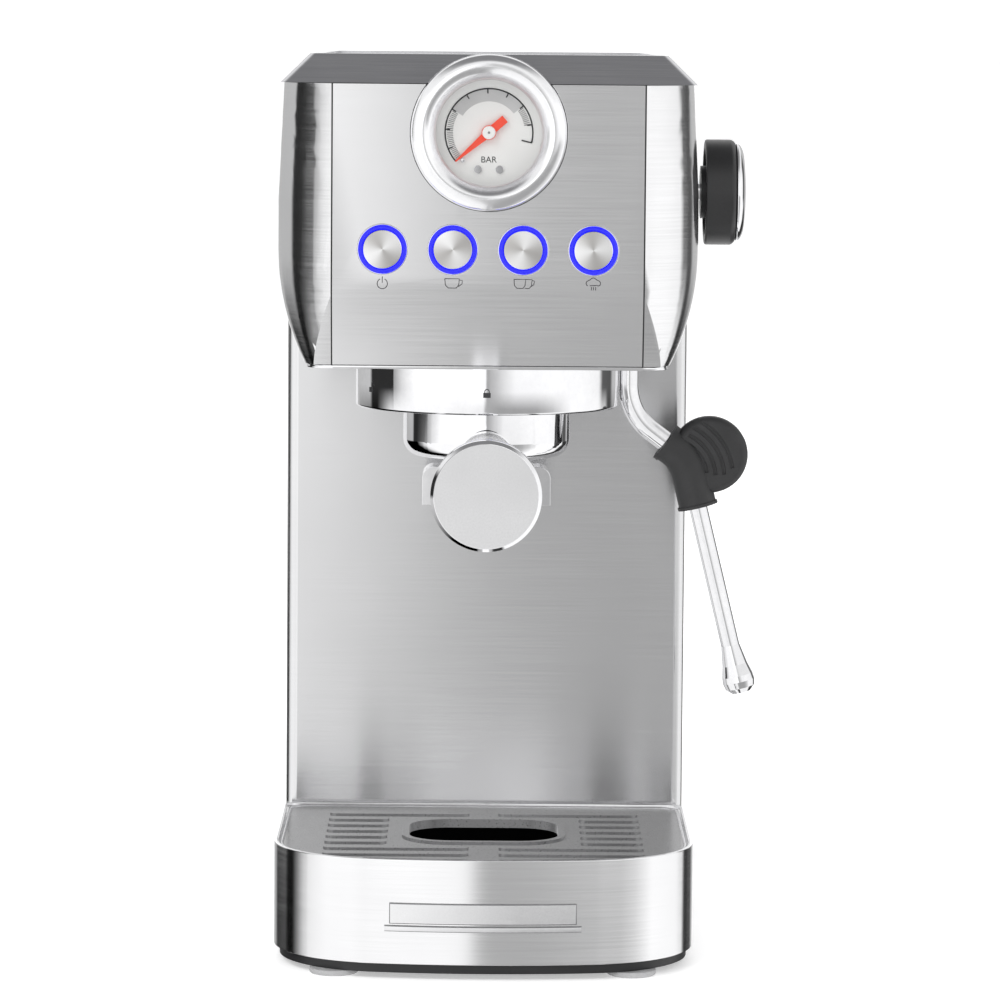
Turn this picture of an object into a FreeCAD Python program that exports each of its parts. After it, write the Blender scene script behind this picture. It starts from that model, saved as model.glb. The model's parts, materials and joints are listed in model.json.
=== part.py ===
"""Slim one-group espresso machine with a pressure gauge, a steam wand and a 51 mm portafilter.

Millimetres. +X is the machine's right seen from the front, -Y its front and +Z up. The origin
is on the surface the machine stands on, at the middle of its footprint.
"""

import FreeCAD, Part
import math
import os

import Sketcher

doc = FreeCAD.newDocument("espresso_machine")
sheet = doc.addObject("Spreadsheet::Sheet", "Sizes")
row_count = 0


# ---------------------------------------------------------------- sizes

class Size:
    """A number together with the sheet expression that gives it."""

    def __init__(self, value, text):
        self.value = float(value)
        self.text = text

    def __add__(self, other):
        other = as_size(other)
        return Size(self.value + other.value, f"({self.text} + {other.text})")

    def __sub__(self, other):
        other = as_size(other)
        return Size(self.value - other.value, f"({self.text} - {other.text})")

    def __mul__(self, other):
        other = as_size(other)
        return Size(self.value * other.value, f"({self.text} * {other.text})")

    def __truediv__(self, other):
        other = as_size(other)
        return Size(self.value / other.value, f"({self.text} / {other.text})")

    def __neg__(self):
        return Size(-self.value, f"(0 - {self.text})")

    def root(self):
        """The square root."""
        return Size(self.value ** 0.5, f"sqrt({self.text})")


def as_size(number):
    """A Size as it is, or a plain number as a constant Size."""
    if isinstance(number, Size):
        return number
    return Size(number, f"{float(number):.6f}")


ZERO = as_size(0)


def size(name, value):
    """Write one driving dimension to the sheet and return it as a Size."""
    global row_count
    row_count += 1
    sheet.set(f"A{row_count}", name)
    sheet.set(f"B{row_count}", str(value))
    sheet.setAlias(f"B{row_count}", name)
    return Size(value, f"Sizes.{name}")


def bind(thing, prop, wanted):
    """Bind a property to its Size; plain numbers are written once and stay fixed."""
    wanted = as_size(wanted)
    if "Sizes." in wanted.text:
        thing.setExpression(prop, wanted.text)


def vector(place):
    """The FreeCAD vector of three Sizes."""
    return FreeCAD.Vector(*[as_size(part).value for part in place])


# ---------------------------------------------------------------- modelling steps

TURNS = {
    "Z": FreeCAD.Rotation(),
    "-Z": FreeCAD.Rotation(FreeCAD.Vector(1, 0, 0), 180),
    "Y": FreeCAD.Rotation(FreeCAD.Vector(1, 0, 0), -90),
    "-Y": FreeCAD.Rotation(FreeCAD.Vector(1, 0, 0), 90),
    "X": FreeCAD.Rotation(FreeCAD.Vector(0, 1, 0), 90),
    "-X": FreeCAD.Rotation(FreeCAD.Vector(0, 1, 0), -90),
}


def place(thing, where, turn="Z"):
    """Put an object at three Sizes with its own Z axis along a row axis."""
    rotation = turn if isinstance(turn, FreeCAD.Rotation) else TURNS[turn]
    thing.Placement = FreeCAD.Placement(vector(where), rotation)
    for letter, amount in zip("xyz", where):
        bind(thing, f"Placement.Base.{letter}", amount)
    return thing


def box(name, low, high):
    """A block between two corners."""
    block = doc.addObject("Part::Box", name)
    for prop, start, end in zip(("Length", "Width", "Height"), low, high):
        span = as_size(end) - start
        setattr(block, prop, span.value)
        bind(block, prop, span)
    return place(block, low)


def cylinder(name, axis, start, radius, length):
    """A round bar from a start point along a row axis."""
    bar = doc.addObject("Part::Cylinder", name)
    bar.Radius = as_size(radius).value
    bar.Height = as_size(length).value
    bind(bar, "Radius", radius)
    bind(bar, "Height", length)
    return place(bar, start, axis)


def cut(name, base, *tools):
    """A base with one or more tools taken away."""
    result = doc.addObject("Part::Cut", name)
    result.Base = base
    result.Tool = tools[0] if len(tools) == 1 else fuse(f"{name}_tools", *tools)
    return result


def fuse(name, *pieces):
    """Several pieces made one."""
    result = doc.addObject("Part::MultiFuse", name)
    result.Shapes = list(pieces)
    return result


def common(name, *pieces):
    """What several pieces share."""
    result = doc.addObject("Part::MultiCommon", name)
    result.Shapes = list(pieces)
    return result


def group(name, *pieces):
    """Several separate solids kept apart in one object."""
    result = doc.addObject("Part::Compound", name)
    result.Links = list(pieces)
    return result


def origin_plane(body, role):
    """One of a body's own origin planes."""
    return next(item for item in body.Origin.OriginFeatures if item.Role == role)


def arc_between(start, end, radius):
    """The shorter arc from start to end; a positive radius turns left, a negative one right."""
    chord = end - start
    left = FreeCAD.Vector(-chord.y, chord.x, 0).normalize()
    rise = (radius * radius - chord.Length ** 2 / 4) ** 0.5
    centre = (start + end) / 2 + left * (rise if radius > 0 else -rise)
    circle = Part.Circle(centre, FreeCAD.Vector(0, 0, 1), abs(radius))
    first, last = (start, end) if radius > 0 else (end, start)
    return Part.ArcOfCircle(circle, circle.parameter(first), circle.parameter(last))


def outline(body, plane, corners):
    """A closed sketch on an origin plane. Each corner is (u, v), or (u, v, radius) at an arc's end."""
    sketch = body.newObject("Sketcher::SketchObject", f"{body.Name}_outline")
    sketch.AttachmentSupport = (origin_plane(body, f"{plane}_Plane"), [""])
    sketch.MapMode = "FlatFace"
    points = [FreeCAD.Vector(as_size(c[0]).value, as_size(c[1]).value, 0) for c in corners]
    heads = []
    for index, corner in enumerate(corners):
        start, end = points[index - 1], points[index]
        if len(corner) == 3:
            radius = as_size(corner[2])
            edge = sketch.addGeometry(arc_between(start, end, radius.value))
            heads.append((1, 2) if radius.value > 0 else (2, 1))
        else:
            edge = sketch.addGeometry(Part.LineSegment(start, end))
            heads.append((1, 2))
    for index, corner in enumerate(corners):
        following = (index + 1) % len(corners)
        tail = heads[index][1]
        sketch.addConstraint(Sketcher.Constraint("Coincident", index, tail, following, heads[following][0]))
        for kind, amount in zip(("DistanceX", "DistanceY"), corner[:2]):
            amount = as_size(amount)
            number = sketch.addConstraint(Sketcher.Constraint(kind, -1, 1, index, tail, amount.value))
            bind(sketch, f"Constraints[{number}]", amount)
        if len(corner) == 3:
            radius = as_size(corner[2])
            number = sketch.addConstraint(Sketcher.Constraint("Radius", index, abs(radius.value)))
            bind(sketch, f"Constraints[{number}]", radius if radius.value > 0 else -radius)
    return sketch


def plate(name, plane, corners, start, thickness):
    """A flat outline on XY, XZ or YZ, made solid from start along the third axis."""
    body = doc.addObject("PartDesign::Body", name)
    sketch = outline(body, plane, corners)
    pad = body.newObject("PartDesign::Pad", f"{name}_pad")
    pad.Profile = sketch
    pad.Length = as_size(thickness).value
    bind(pad, "Length", thickness)
    pad.Reversed = plane == "XZ"
    where = {"XY": (ZERO, ZERO, start), "XZ": (ZERO, start, ZERO), "YZ": (start, ZERO, ZERO)}
    return place(body, where[plane])


def turned(name, axis, where, profile, angle=360):
    """A profile of (radius, height) corners turned about an axis through a point."""
    body = doc.addObject("PartDesign::Body", name)
    sketch = outline(body, "XZ", profile)
    spin = body.newObject("PartDesign::Revolution", f"{name}_turn")
    spin.Profile = sketch
    spin.ReferenceAxis = (sketch, ["V_Axis"])
    spin.Angle = angle
    return place(body, where, axis)


def tube_profile(inner, outer, low, high):
    """The corners of a ring's section."""
    return [(inner, low), (outer, low), (outer, high), (inner, high)]


def disc_profile(radius, low, high, edge):
    """The corners of a disc whose upper rim has a chamfer."""
    radius, high = as_size(radius), as_size(high)
    return [(0, low), (radius, low), (radius, high - edge), (radius - edge, high), (0, high)]


def rounded(left, right, front, back, radius):
    """A rectangle's corners with four round ends, anticlockwise from the front left."""
    left, right, front, back = [as_size(item) for item in (left, right, front, back)]
    radius = as_size(radius)
    return [
        (right - radius, front), (right, front + radius, radius),
        (right, back - radius), (right - radius, back, radius),
        (left + radius, back), (left, back - radius, radius),
        (left, front + radius), (left + radius, front, radius),
    ]


def bent_tube(name, points, bend, radius):
    """A round bar along straight runs joined by tangent arcs of one radius."""
    points = [vector(point) for point in points]
    bend = as_size(bend).value
    edges = []
    last = points[0]
    for before, corner, after in zip(points, points[1:], points[2:]):
        inward = (before - corner).normalize()
        onward = (after - corner).normalize()
        half = inward.getAngle(onward) / 2
        reach = bend / math.tan(half)
        middle = (inward + onward).normalize()
        depth = (bend * bend + reach * reach) ** 0.5 - bend
        edges.append(Part.LineSegment(last, corner + inward * reach).toShape())
        edges.append(Part.Arc(corner + inward * reach, corner + middle * depth,
                              corner + onward * reach).toShape())
        last = corner + onward * reach
    edges.append(Part.LineSegment(last, points[-1]).toShape())
    ring = Part.Wire(Part.Circle(points[0], points[1] - points[0], as_size(radius).value).toShape())
    piece = doc.addObject("Part::Feature", name)
    piece.Shape = Part.Wire(edges).makePipeShell([ring], True, False)
    return piece


# ---------------------------------------------------------------- driving sizes

body_width = size("body_width", 142)
column_width = size("column_width", 141)
machine_top = size("machine_top", 305.8)
front_reach = size("front_reach", 155)
back_reach = size("back_reach", 155)
column_reach = size("column_reach", 28)
column_depth = size("column_depth", 116)
column_corner = size("column_corner", 4)
steel_wall = size("steel_wall", 1.2)
plastic_wall = size("plastic_wall", 2.2)
seam = size("seam", 0.2)
play = size("play", 0.3)
shaft_play = size("shaft_play", 0.05)

body_half = body_width / 2
column_half = column_width / 2
front_y = -front_reach
back_y = ZERO + back_reach
column_front_y = -column_reach
column_back_y = column_front_y + column_depth


# ---------------------------------------------------------------- base and feet

foot_lift = size("foot_lift", 2)
foot_radius = size("foot_radius", 8.3)
foot_pitch_x = size("foot_pitch_x", 99.4)
foot_inset_front = size("foot_inset_front", 14.7)
foot_inset_back = size("foot_inset_back", 14)
foot_stud_radius = size("foot_stud_radius", 3)
foot_stud_height = size("foot_stud_height", 3)
foot_edge = size("foot_edge", 0.6)
base_plate_height = size("base_plate_height", 3)
base_inset = size("base_inset", 2)
base_wall_height = size("base_wall_height", 34)
tray_back_gap = size("tray_back_gap", 1.4)
tray_bow = size("tray_bow", 230)
tray_corner = size("tray_corner", 40)

base_top = foot_lift + base_plate_height
tray_back_y = column_front_y - tray_back_gap


def bowed(inset, back):
    """A tray outline: straight sides, round front corners and a gently bowed front."""
    inset = as_size(inset)
    half, front = body_half - inset, front_y + inset
    bow, corner = tray_bow - inset, tray_corner - inset
    bow_y = front + bow
    corner_x = half - corner
    reach = bow - corner
    corner_y = bow_y - (reach * reach - corner_x * corner_x).root()
    meet_x = corner_x * bow / reach
    meet_y = bow_y - (bow_y - corner_y) * bow / reach
    return [(half, corner_y, corner), (half, back), (-half, back), (-half, corner_y),
            (-meet_x, meet_y, corner), (meet_x, meet_y, bow)]


def rubber_feet():
    """Four turned feet, each with a stud that plugs into the base."""
    feet = []
    rows = (front_y + foot_inset_front, back_y - foot_inset_back)
    for side in (-1, 1):
        for row, foot_y in enumerate(rows):
            profile = [(0, 0), (foot_radius - foot_edge, 0), (foot_radius, foot_edge),
                       (foot_radius, foot_lift), (foot_stud_radius, foot_lift),
                       (foot_stud_radius, foot_lift + foot_stud_height),
                       (0, foot_lift + foot_stud_height)]
            name = f"foot_{'left' if side < 0 else 'right'}_{row}"
            feet.append(turned(name, "Z", (foot_pitch_x / 2 * side, foot_y, ZERO), profile))
    return group("rubber_feet", *feet)


def base_chassis():
    """The black floor under the machine, with the low walls that the column stands round."""
    floor = plate("base_floor", "XY", bowed(base_inset, tray_back_y), foot_lift, base_plate_height)
    rear = box("base_rear", (-column_half, tray_back_y, foot_lift), (column_half, back_y, base_top))
    wall_inset, hollow_inset = steel_wall, steel_wall + plastic_wall
    wall = plate("base_wall", "XY",
                 open_back(column_half - wall_inset, column_front_y + wall_inset, column_back_y,
                           column_corner - wall_inset), base_top, base_wall_height)
    hollow = plate("base_hollow", "XY",
                   open_back(column_half - hollow_inset, column_front_y + hollow_inset,
                             column_back_y - plastic_wall, column_corner - hollow_inset),
                   base_top, base_wall_height)
    studs = []
    for side in (-1, 1):
        for row, hole_y in enumerate((front_y + foot_inset_front, back_y - foot_inset_back)):
            studs.append(cylinder(f"stud_hole_{side + 1}_{row}", "Z",
                                  (foot_pitch_x / 2 * side, hole_y, foot_lift),
                                  foot_stud_radius, foot_stud_height))
    return cut("base_chassis", fuse("base_blank", floor, rear, cut("base_ring", wall, hollow)), *studs)


# ---------------------------------------------------------------- drip tray

tray_lift = size("tray_lift", 0.3)
tray_height = size("tray_height", 35.1)
tray_wrap_wall = size("tray_wrap_wall", 1.6)
basin_wall = size("basin_wall", 2)
basin_floor = size("basin_floor", 2)
basin_height = size("basin_height", 31.6)
grid_thickness = size("grid_thickness", 1.8)
grid_gap = size("grid_gap", 0.4)
rib_count = 9
rib_pitch = size("rib_pitch", 12.1)
rib_first = size("rib_first", 22.5)
rib_reach = size("rib_reach", 54)
rib_break = size("rib_break", 5)
rib_width = size("rib_width", 5)
rib_height = size("rib_height", 1)
rib_margin = size("rib_margin", 3)
drain_width = size("drain_width", 51)
drain_depth = size("drain_depth", 46)
drain_corner = size("drain_corner", 14)
drain_rim = size("drain_rim", 2.4)
drain_rim_height = size("drain_rim_height", 1.2)
drain_back = size("drain_back", 37)
name_width = size("name_width", 65.4)
name_low = size("name_low", 10)
name_height = size("name_height", 10.6)
name_stand = size("name_stand", 1)

tray_low = base_top + tray_lift
basin_low = tray_low + tray_lift
grid_low = basin_low + basin_height


def drip_tray_front():
    """The brushed steel skirt round the front and sides of the tray."""
    outer = plate("skirt_outer", "XY", bowed(ZERO, tray_back_y), tray_low, tray_height)
    inner = plate("skirt_inner", "XY", bowed(tray_wrap_wall, tray_back_y + tray_wrap_wall),
                  tray_low, tray_height)
    return cut("drip_tray_front", outer, inner)


def drip_tray():
    """The black basin inside the skirt."""
    outer = plate("basin_outer", "XY", bowed(tray_wrap_wall, tray_back_y), basin_low, basin_height)
    inset = tray_wrap_wall + basin_wall
    inner = plate("basin_inner", "XY", bowed(inset, tray_back_y - basin_wall),
                  basin_low + basin_floor, basin_height)
    return cut("drip_tray", outer, inner)


def drip_grid():
    """The cup stand: a plate with rows of raised ribs and one rimmed drain opening."""
    inset = tray_wrap_wall + grid_gap
    blank = plate("grid_blank", "XY", bowed(inset, tray_back_y - grid_gap), grid_low, grid_thickness)
    half, back = drain_width / 2, tray_back_y - drain_back
    opening = plate("drain_opening", "XY", rounded(-half, half, back - drain_depth, back, drain_corner),
                    grid_low, grid_thickness + drain_rim_height)
    rim_half, rim_back = half + drain_rim, back + drain_rim
    rim = plate("drain_rim_blank", "XY",
                rounded(-rim_half, rim_half, back - drain_depth - drain_rim, rim_back,
                        drain_corner + drain_rim),
                grid_low, grid_thickness + drain_rim_height)
    ribs = []
    for row in range(rib_count):
        middle = tray_back_y - rib_first - rib_pitch * row
        gap = abs((middle - back + drain_depth / 2).value)
        beside = gap < (drain_depth / 2 + rib_width - rib_height).value
        inner = rim_half + rib_width if beside else rib_break
        for side in (-1, 1):
            ends = (inner, rib_reach) if side > 0 else (-rib_reach, -inner)
            round_end = rib_width / 2 - seam / 2
            ribs.append(plate(f"rib_{row}_{side + 1}", "XY",
                              rounded(ends[0], ends[1], middle - rib_width / 2, middle + rib_width / 2,
                                      round_end),
                              grid_low, grid_thickness + rib_height))
    clip = plate("rib_field", "XY", bowed(inset + rib_margin, tray_back_y - rib_margin), grid_low,
                 grid_thickness + rib_height)
    bars = common("rib_bars", fuse("rib_rows", *ribs), clip)
    return cut("drip_grid", fuse("grid_solid", blank, rim, bars), opening)


def tray_name_plate():
    """A plain raised bar on the front of the skirt."""
    outer = plate("bar_outer", "XY", bowed(-name_stand, tray_back_y), tray_low + name_low, name_height)
    inner = plate("bar_inner", "XY", bowed(ZERO, tray_back_y + name_stand), tray_low + name_low,
                  name_height)
    window = box("bar_window", (-name_width / 2, front_y - name_stand, tray_low + name_low),
                 (name_width / 2, front_y + tray_corner, tray_low + name_low + name_height))
    return common("tray_name_plate", cut("bar_ring", outer, inner), window)


# ---------------------------------------------------------------- column and rear

column_top = size("column_top", 232)
rear_thickness = size("rear_thickness", 2)
vent_count = 8
vent_pitch = size("vent_pitch", 7)
vent_width = size("vent_width", 3)
vent_length = size("vent_length", 60)
vent_low = size("vent_low", 238)
frame_sheet = size("frame_sheet", 2)
frame_half = size("frame_half", 40)
frame_level = size("frame_level", 212)
leg_half = size("leg_half", 58)
leg_depth = size("leg_depth", 22)
rear_y = column_back_y + seam


def open_back(half, front, back, radius):
    """A rectangle with two round front corners."""
    return [(half - radius, front), (half, front + radius, radius), (half, back), (-half, back),
            (-half, front + radius), (-half + radius, front, radius)]


def column_panel():
    """The brushed steel column: one sheet folded round the front and sides."""
    tall = column_top - base_top - tray_lift
    outer = plate("column_outer", "XY",
                  open_back(column_half, column_front_y, column_back_y, column_corner),
                  base_top + tray_lift, tall)
    inner = plate("column_inner", "XY",
                  open_back(column_half - steel_wall, column_front_y + steel_wall,
                            column_back_y + steel_wall, column_corner - steel_wall),
                  base_top + tray_lift, tall)
    straight = column_half - column_corner
    window = box("column_window", (-straight, column_front_y - seam, head_bottom + under_sheet),
                 (straight, column_front_y + steel_wall + seam, column_top + seam))
    return cut("column_panel", outer, inner, window)


def inner_frame():
    """The steel deck that carries the group and boiler, on two legs from the base."""
    deck = box("deck", (-frame_half, head_back_of_front, frame_level),
               (frame_half, column_back_y - plastic_wall, frame_level + frame_sheet))
    parts = [deck]
    for side in (-1, 1):
        edges = sorted((leg_half * side, (leg_half - frame_sheet) * side), key=lambda item: item.value)
        parts.append(box(f"leg_{side + 1}", (edges[0], column_front_y + leg_depth, base_top),
                         (edges[1], column_front_y + leg_depth * 2, frame_level + frame_sheet)))
        ends = sorted((leg_half * side, (frame_half - frame_sheet) * side), key=lambda item: item.value)
        parts.append(box(f"shoulder_{side + 1}", (ends[0], column_front_y + leg_depth, frame_level),
                         (ends[1], column_front_y + leg_depth * 2, frame_level + frame_sheet)))
    bore = cylinder("deck_bore", "Z", (ZERO, group_y, frame_level - seam), steam_bore, frame_sheet * 2)
    return cut("inner_frame", fuse("frame_blank", *parts), bore)


def rear_cover():
    """The black plate that closes the column and the head in front of the tank."""
    outline_right = [(column_half, base_top + tray_lift), (column_half, head_bottom),
                     (body_half - rear_thickness, head_full_low), (body_half - seam, head_full_high),
                     (body_half - head_taper - seam, bevel_low), (top_half, machine_top - seam)]
    outline_left = [(-x, z) for x, z in reversed(outline_right)]
    blank = plate("rear_blank", "XZ", outline_right + outline_left, rear_y, rear_thickness)
    vents = []
    for row in range(vent_count):
        low = vent_low + vent_pitch * row
        vents.append(box(f"vent_{row}", (-vent_length / 2, rear_y, low),
                         (vent_length / 2, rear_y + rear_thickness, low + vent_width)))
    return cut("rear_cover", blank, *vents)


# ---------------------------------------------------------------- head

head_front_inset = size("head_front_inset", 21)
head_bottom = size("head_bottom", 202.6)
head_crease = size("head_crease", 226.9)
head_tuck = size("head_tuck", 6)
head_full_low = size("head_full_low", 240)
head_full_high = size("head_full_high", 257)
head_curve = size("head_curve", 76)
head_taper = size("head_taper", 2)
bevel_low = size("bevel_low", 296.2)
bevel_depth = size("bevel_depth", 10)
bevel_side = size("bevel_side", 9.5)
fascia_width = size("fascia_width", 103.4)
cheek_sine = size("cheek_sine", 0.543)
fascia_seam = size("fascia_seam", 0.2)
frame_lip = size("frame_lip", 3.5)
frame_corner = size("frame_corner", 3)
ledge = size("ledge", 3)
warmer_sheet = size("warmer_sheet", 1.5)
warmer_drop = size("warmer_drop", 1)
warmer_slots = 7
warmer_slot_width = size("warmer_slot_width", 3)
warmer_slot_pitch = size("warmer_slot_pitch", 14)
warmer_slot_length = size("warmer_slot_length", 150)
trim_height = size("trim_height", 1.4)
trim_width = size("trim_width", 3)
trim_corner = size("trim_corner", 9)
trim_inset = size("trim_inset", 0.8)
under_sheet = size("under_sheet", 2)

head_front_y = front_y + head_front_inset
head_back_of_front = head_front_y + head_front_inset
fascia_half = fascia_width / 2
top_half = body_half - head_taper - bevel_side


def curved_half(level):
    """Half the head's width where its sides curve in towards the bottom."""
    fall = head_full_low - level
    return body_half - head_curve + (head_curve * head_curve - fall * fall).root()


def head_plan(half, inset):
    """The head's level outline: each cheek leaves the fascia at an angle and rounds into the flank."""
    cosine = (as_size(1) - cheek_sine * cheek_sine).root()
    radius = (half - fascia_half) / (as_size(1) - cheek_sine)
    inner_radius = radius - inset
    centre_x, centre_y = half - radius, head_front_y + radius * cosine
    front = head_front_y + inset
    rise = centre_y - front
    start_x = centre_x + (inner_radius * inner_radius - rise * rise).root()
    return [(start_x, front), (half - inset, centre_y, inner_radius), (half - inset, column_back_y),
            (-half + inset, column_back_y), (-half + inset, centre_y),
            (-start_x, front, inner_radius)]


def head_loft(name, levels, inset, ruled):
    """A solid through level outlines of the head."""
    body = doc.addObject("PartDesign::Body", name)
    sketches = []
    for level, half in levels:
        sketch = outline(body, "XY", head_plan(half, inset))
        sketch.AttachmentOffset = FreeCAD.Placement(FreeCAD.Vector(0, 0, as_size(level).value),
                                                    FreeCAD.Rotation())
        bind(sketch, "AttachmentOffset.Base.z", level)
        sketches.append(sketch)
    loft = body.newObject("PartDesign::AdditiveLoft", f"{name}_loft")
    loft.Profile = sketches[0]
    loft.Sections = sketches[1:]
    loft.Ruled = ruled
    return body


def head_form(name, inset):
    """The head's outer shape moved inwards by an inset."""
    inset = as_size(inset)
    rise = (head_full_low - head_bottom) / 4
    curved = [(head_bottom + rise * step, curved_half(head_bottom + rise * step)) for step in range(4)]
    curved.append((head_full_low, body_half))
    straight = [(head_full_low, body_half), (head_full_high, body_half),
                (bevel_low, body_half - head_taper), (machine_top, top_half)]
    lower = head_loft(f"{name}_lower", curved, inset, False)
    upper = head_loft(f"{name}_upper", straight, inset, True)
    side = [(head_front_y + head_tuck + inset, head_bottom), (column_back_y, head_bottom),
            (column_back_y, machine_top - inset), (head_front_y + bevel_depth + inset, machine_top - inset),
            (head_front_y + inset, bevel_low), (head_front_y + inset, head_crease)]
    profile = plate(f"{name}_side", "YZ", side, -body_half, body_width)
    return common(name, fuse(f"{name}_loft", lower, upper), profile)


def head_cheek(name, side):
    """A side of the head: the flat flank and the round corner up to the fascia's edge."""
    shell = cut(f"{name}_shell", head_form(f"{name}_outer", ZERO), head_form(f"{name}_inner", steel_wall))
    inner, outer = fascia_half + fascia_seam, body_half + seam
    ends = (inner, outer) if side > 0 else (-outer, -inner)
    region = box(f"{name}_region", (ends[0], head_front_y - seam, head_bottom),
                 (ends[1], column_back_y, bevel_low - seam))
    column = box(f"{name}_column_space",
                 (-column_half - seam, column_front_y - seam, head_bottom - seam),
                 (column_half + seam, column_back_y + seam, column_top + seam))
    trimmed = common(f"{name}_trimmed", shell, region)
    if side < 0:
        return cut(name, trimmed, column)
    bore = cylinder(f"{name}_bore", "X", (column_half - head_taper, knob_y, knob_z),
                    spindle_radius + play, body_half)
    return cut(name, trimmed, column, bore)


def head_fascia():
    """The flat front panel with a soft crease, one gauge hole and four button holes."""
    inner = steel_wall
    corners = [(head_front_y, head_crease), (head_front_y + head_tuck, head_bottom),
               (head_front_y + head_tuck + inner, head_bottom),
               (head_front_y + inner, head_crease), (head_front_y + inner, bevel_low - seam),
               (head_front_y, bevel_low - seam)]
    blank = plate("fascia_blank", "YZ", corners, -fascia_half, fascia_width)
    holes = [cylinder("gauge_hole", "Y", (ZERO, head_front_y - play, gauge_z),
                      bezel_radius + seam, steel_wall * 2)]
    for number, button_x in enumerate(button_places()):
        holes.append(cylinder(f"button_hole_{number}", "Y", (button_x, head_front_y - play, button_z),
                              ring_radius + seam / 2, steel_wall * 2))
    return cut("head_fascia", blank, *holes)


def frame_solid():
    """The top frame's outer block: flat bevels at the front and sides that meet at small corners."""
    body = doc.addObject("PartDesign::Body", "frame_solid")
    sketches = []
    for level, half, front in ((bevel_low, body_half - head_taper, head_front_y),
                               (machine_top, top_half, head_front_y + bevel_depth)):
        sketch = outline(body, "XY", open_back(half, front, column_back_y, frame_corner))
        sketch.AttachmentOffset = FreeCAD.Placement(FreeCAD.Vector(0, 0, as_size(level).value),
                                                    FreeCAD.Rotation())
        bind(sketch, "AttachmentOffset.Base.z", level)
        sketches.append(sketch)
    loft = body.newObject("PartDesign::AdditiveLoft", "frame_loft")
    loft.Profile = sketches[0]
    loft.Sections = sketches[1:]
    loft.Ruled = True
    return body


def head_top_frame():
    """The dark bevelled frame round the top, stepped inside to hold the warmer plate."""
    solid = frame_solid()
    half, front, back = warmer_edges()
    upper = box("frame_upper", (-half, front, machine_top - warmer_sheet - warmer_drop),
                (half, back, machine_top + seam))
    lower = box("frame_lower", (-half + ledge, front + ledge, bevel_low - seam),
                (half - ledge, back - ledge, machine_top))
    start = head_front_y - bezel_stand
    drum = cylinder("frame_drum_hole", "Y", (ZERO, start, gauge_z), bezel_radius + seam,
                    bezel_depth + seam)
    case = cylinder("frame_case_hole", "Y", (ZERO, start, gauge_z), bezel_radius - bezel_wall + seam,
                    bezel_depth * 2)
    return cut("head_top_frame", solid, upper, lower, drum, case)


def warmer_edges():
    """Half width, front and back of the frame's opening for the warmer plate."""
    return (top_half - frame_lip, head_front_y + bevel_depth * 2 + frame_lip,
            column_back_y - frame_lip)


def cup_warmer_plate():
    """The slotted steel plate on top, where cups are kept warm."""
    half, front, back = warmer_edges()
    low = machine_top - warmer_sheet - warmer_drop
    blank = box("warmer_blank", (-half + play, front + play, low),
                (half - play, back - play, low + warmer_sheet))
    slots = []
    start = (front + back) / 2 - warmer_slot_length / 2
    for row in range(warmer_slots):
        middle = warmer_slot_pitch * (row - (warmer_slots - 1) / 2)
        slots.append(box(f"warmer_slot_{row}", (middle - warmer_slot_width / 2, start, low),
                         (middle + warmer_slot_width / 2, start + warmer_slot_length,
                          low + warmer_sheet)))
    return cut("cup_warmer_plate", blank, *slots)


def under_outline(inset):
    """The head's lower edge in plan, in front of the column."""
    half = curved_half(head_bottom) - trim_inset - inset
    return rounded(-half, half, head_front_y + head_tuck + trim_inset + inset,
                   column_front_y - seam - inset, trim_corner - inset)


def head_trim():
    """The thin chrome line round the head's lower edge."""
    low = head_bottom - trim_height
    outer = plate("trim_outer", "XY", under_outline(ZERO), low, trim_height - seam)
    inner = plate("trim_inner", "XY", under_outline(trim_width), low, trim_height - seam)
    return cut("head_trim", outer, inner)


def head_underside():
    """The black plate under the head, open for the group and the wand's socket."""
    low = head_bottom - trim_height + seam
    blank = plate("under_blank", "XY", under_outline(trim_width + seam), low, under_sheet)
    group_hole = cylinder("under_group_hole", "Z", (ZERO, group_y, low - seam),
                          collar_radius + seam, under_sheet * 2)
    wand_hole = cylinder("under_wand_hole", "Z", (wand_x, wand_y, low - seam),
                         wand_pipe_radius + play * 2, under_sheet * 2)
    return cut("head_underside", blank, group_hole, wand_hole)


# ---------------------------------------------------------------- gauge

gauge_z = size("gauge_z", 280.1)
bezel_radius = size("bezel_radius", 25.9)
bezel_depth = size("bezel_depth", 20)
bezel_stand = size("bezel_stand", 6)
bezel_opening = size("bezel_opening", 17.55)
bezel_wall = size("bezel_wall", 1.9)
bezel_lip = size("bezel_lip", 9)
bezel_shoulder = size("bezel_shoulder", 3)
bezel_round = size("bezel_round", 1.3)
bezel_round_drop = size("bezel_round_drop", 0.6)
bezel_crown = size("bezel_crown", 3.5)
bezel_flare = size("bezel_flare", 1.9)
bezel_flare_drop = size("bezel_flare_drop", 0.8)
bezel_throat = size("bezel_throat", 2.6)
glass_thickness = size("glass_thickness", 1.2)
glass_inset = size("glass_inset", 3.4)
dial_thickness = size("dial_thickness", 1)
case_depth = size("case_depth", 18)
case_taper = size("case_taper", 0.7)
needle_length = size("needle_length", 14.6)
needle_tail = size("needle_tail", 7)
needle_half = size("needle_half", 1.4)
needle_tip = size("needle_tip", 0.25)
needle_thickness = size("needle_thickness", 0.6)
needle_lift = size("needle_lift", 0.8)
needle_hub = size("needle_hub", 2.4)
needle_rest = size("needle_rest", 221)
dial_screw_radius = size("dial_screw_radius", 1.4)
dial_screw_pitch = size("dial_screw_pitch", 7.14)
dial_screw_drop = size("dial_screw_drop", 12.2)
dial_screw_height = size("dial_screw_height", 0.5)
stop_pin_radius = size("stop_pin_radius", 0.8)
stop_pin_x = size("stop_pin_x", 8.6)
stop_pin_drop = size("stop_pin_drop", 9.1)

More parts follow.
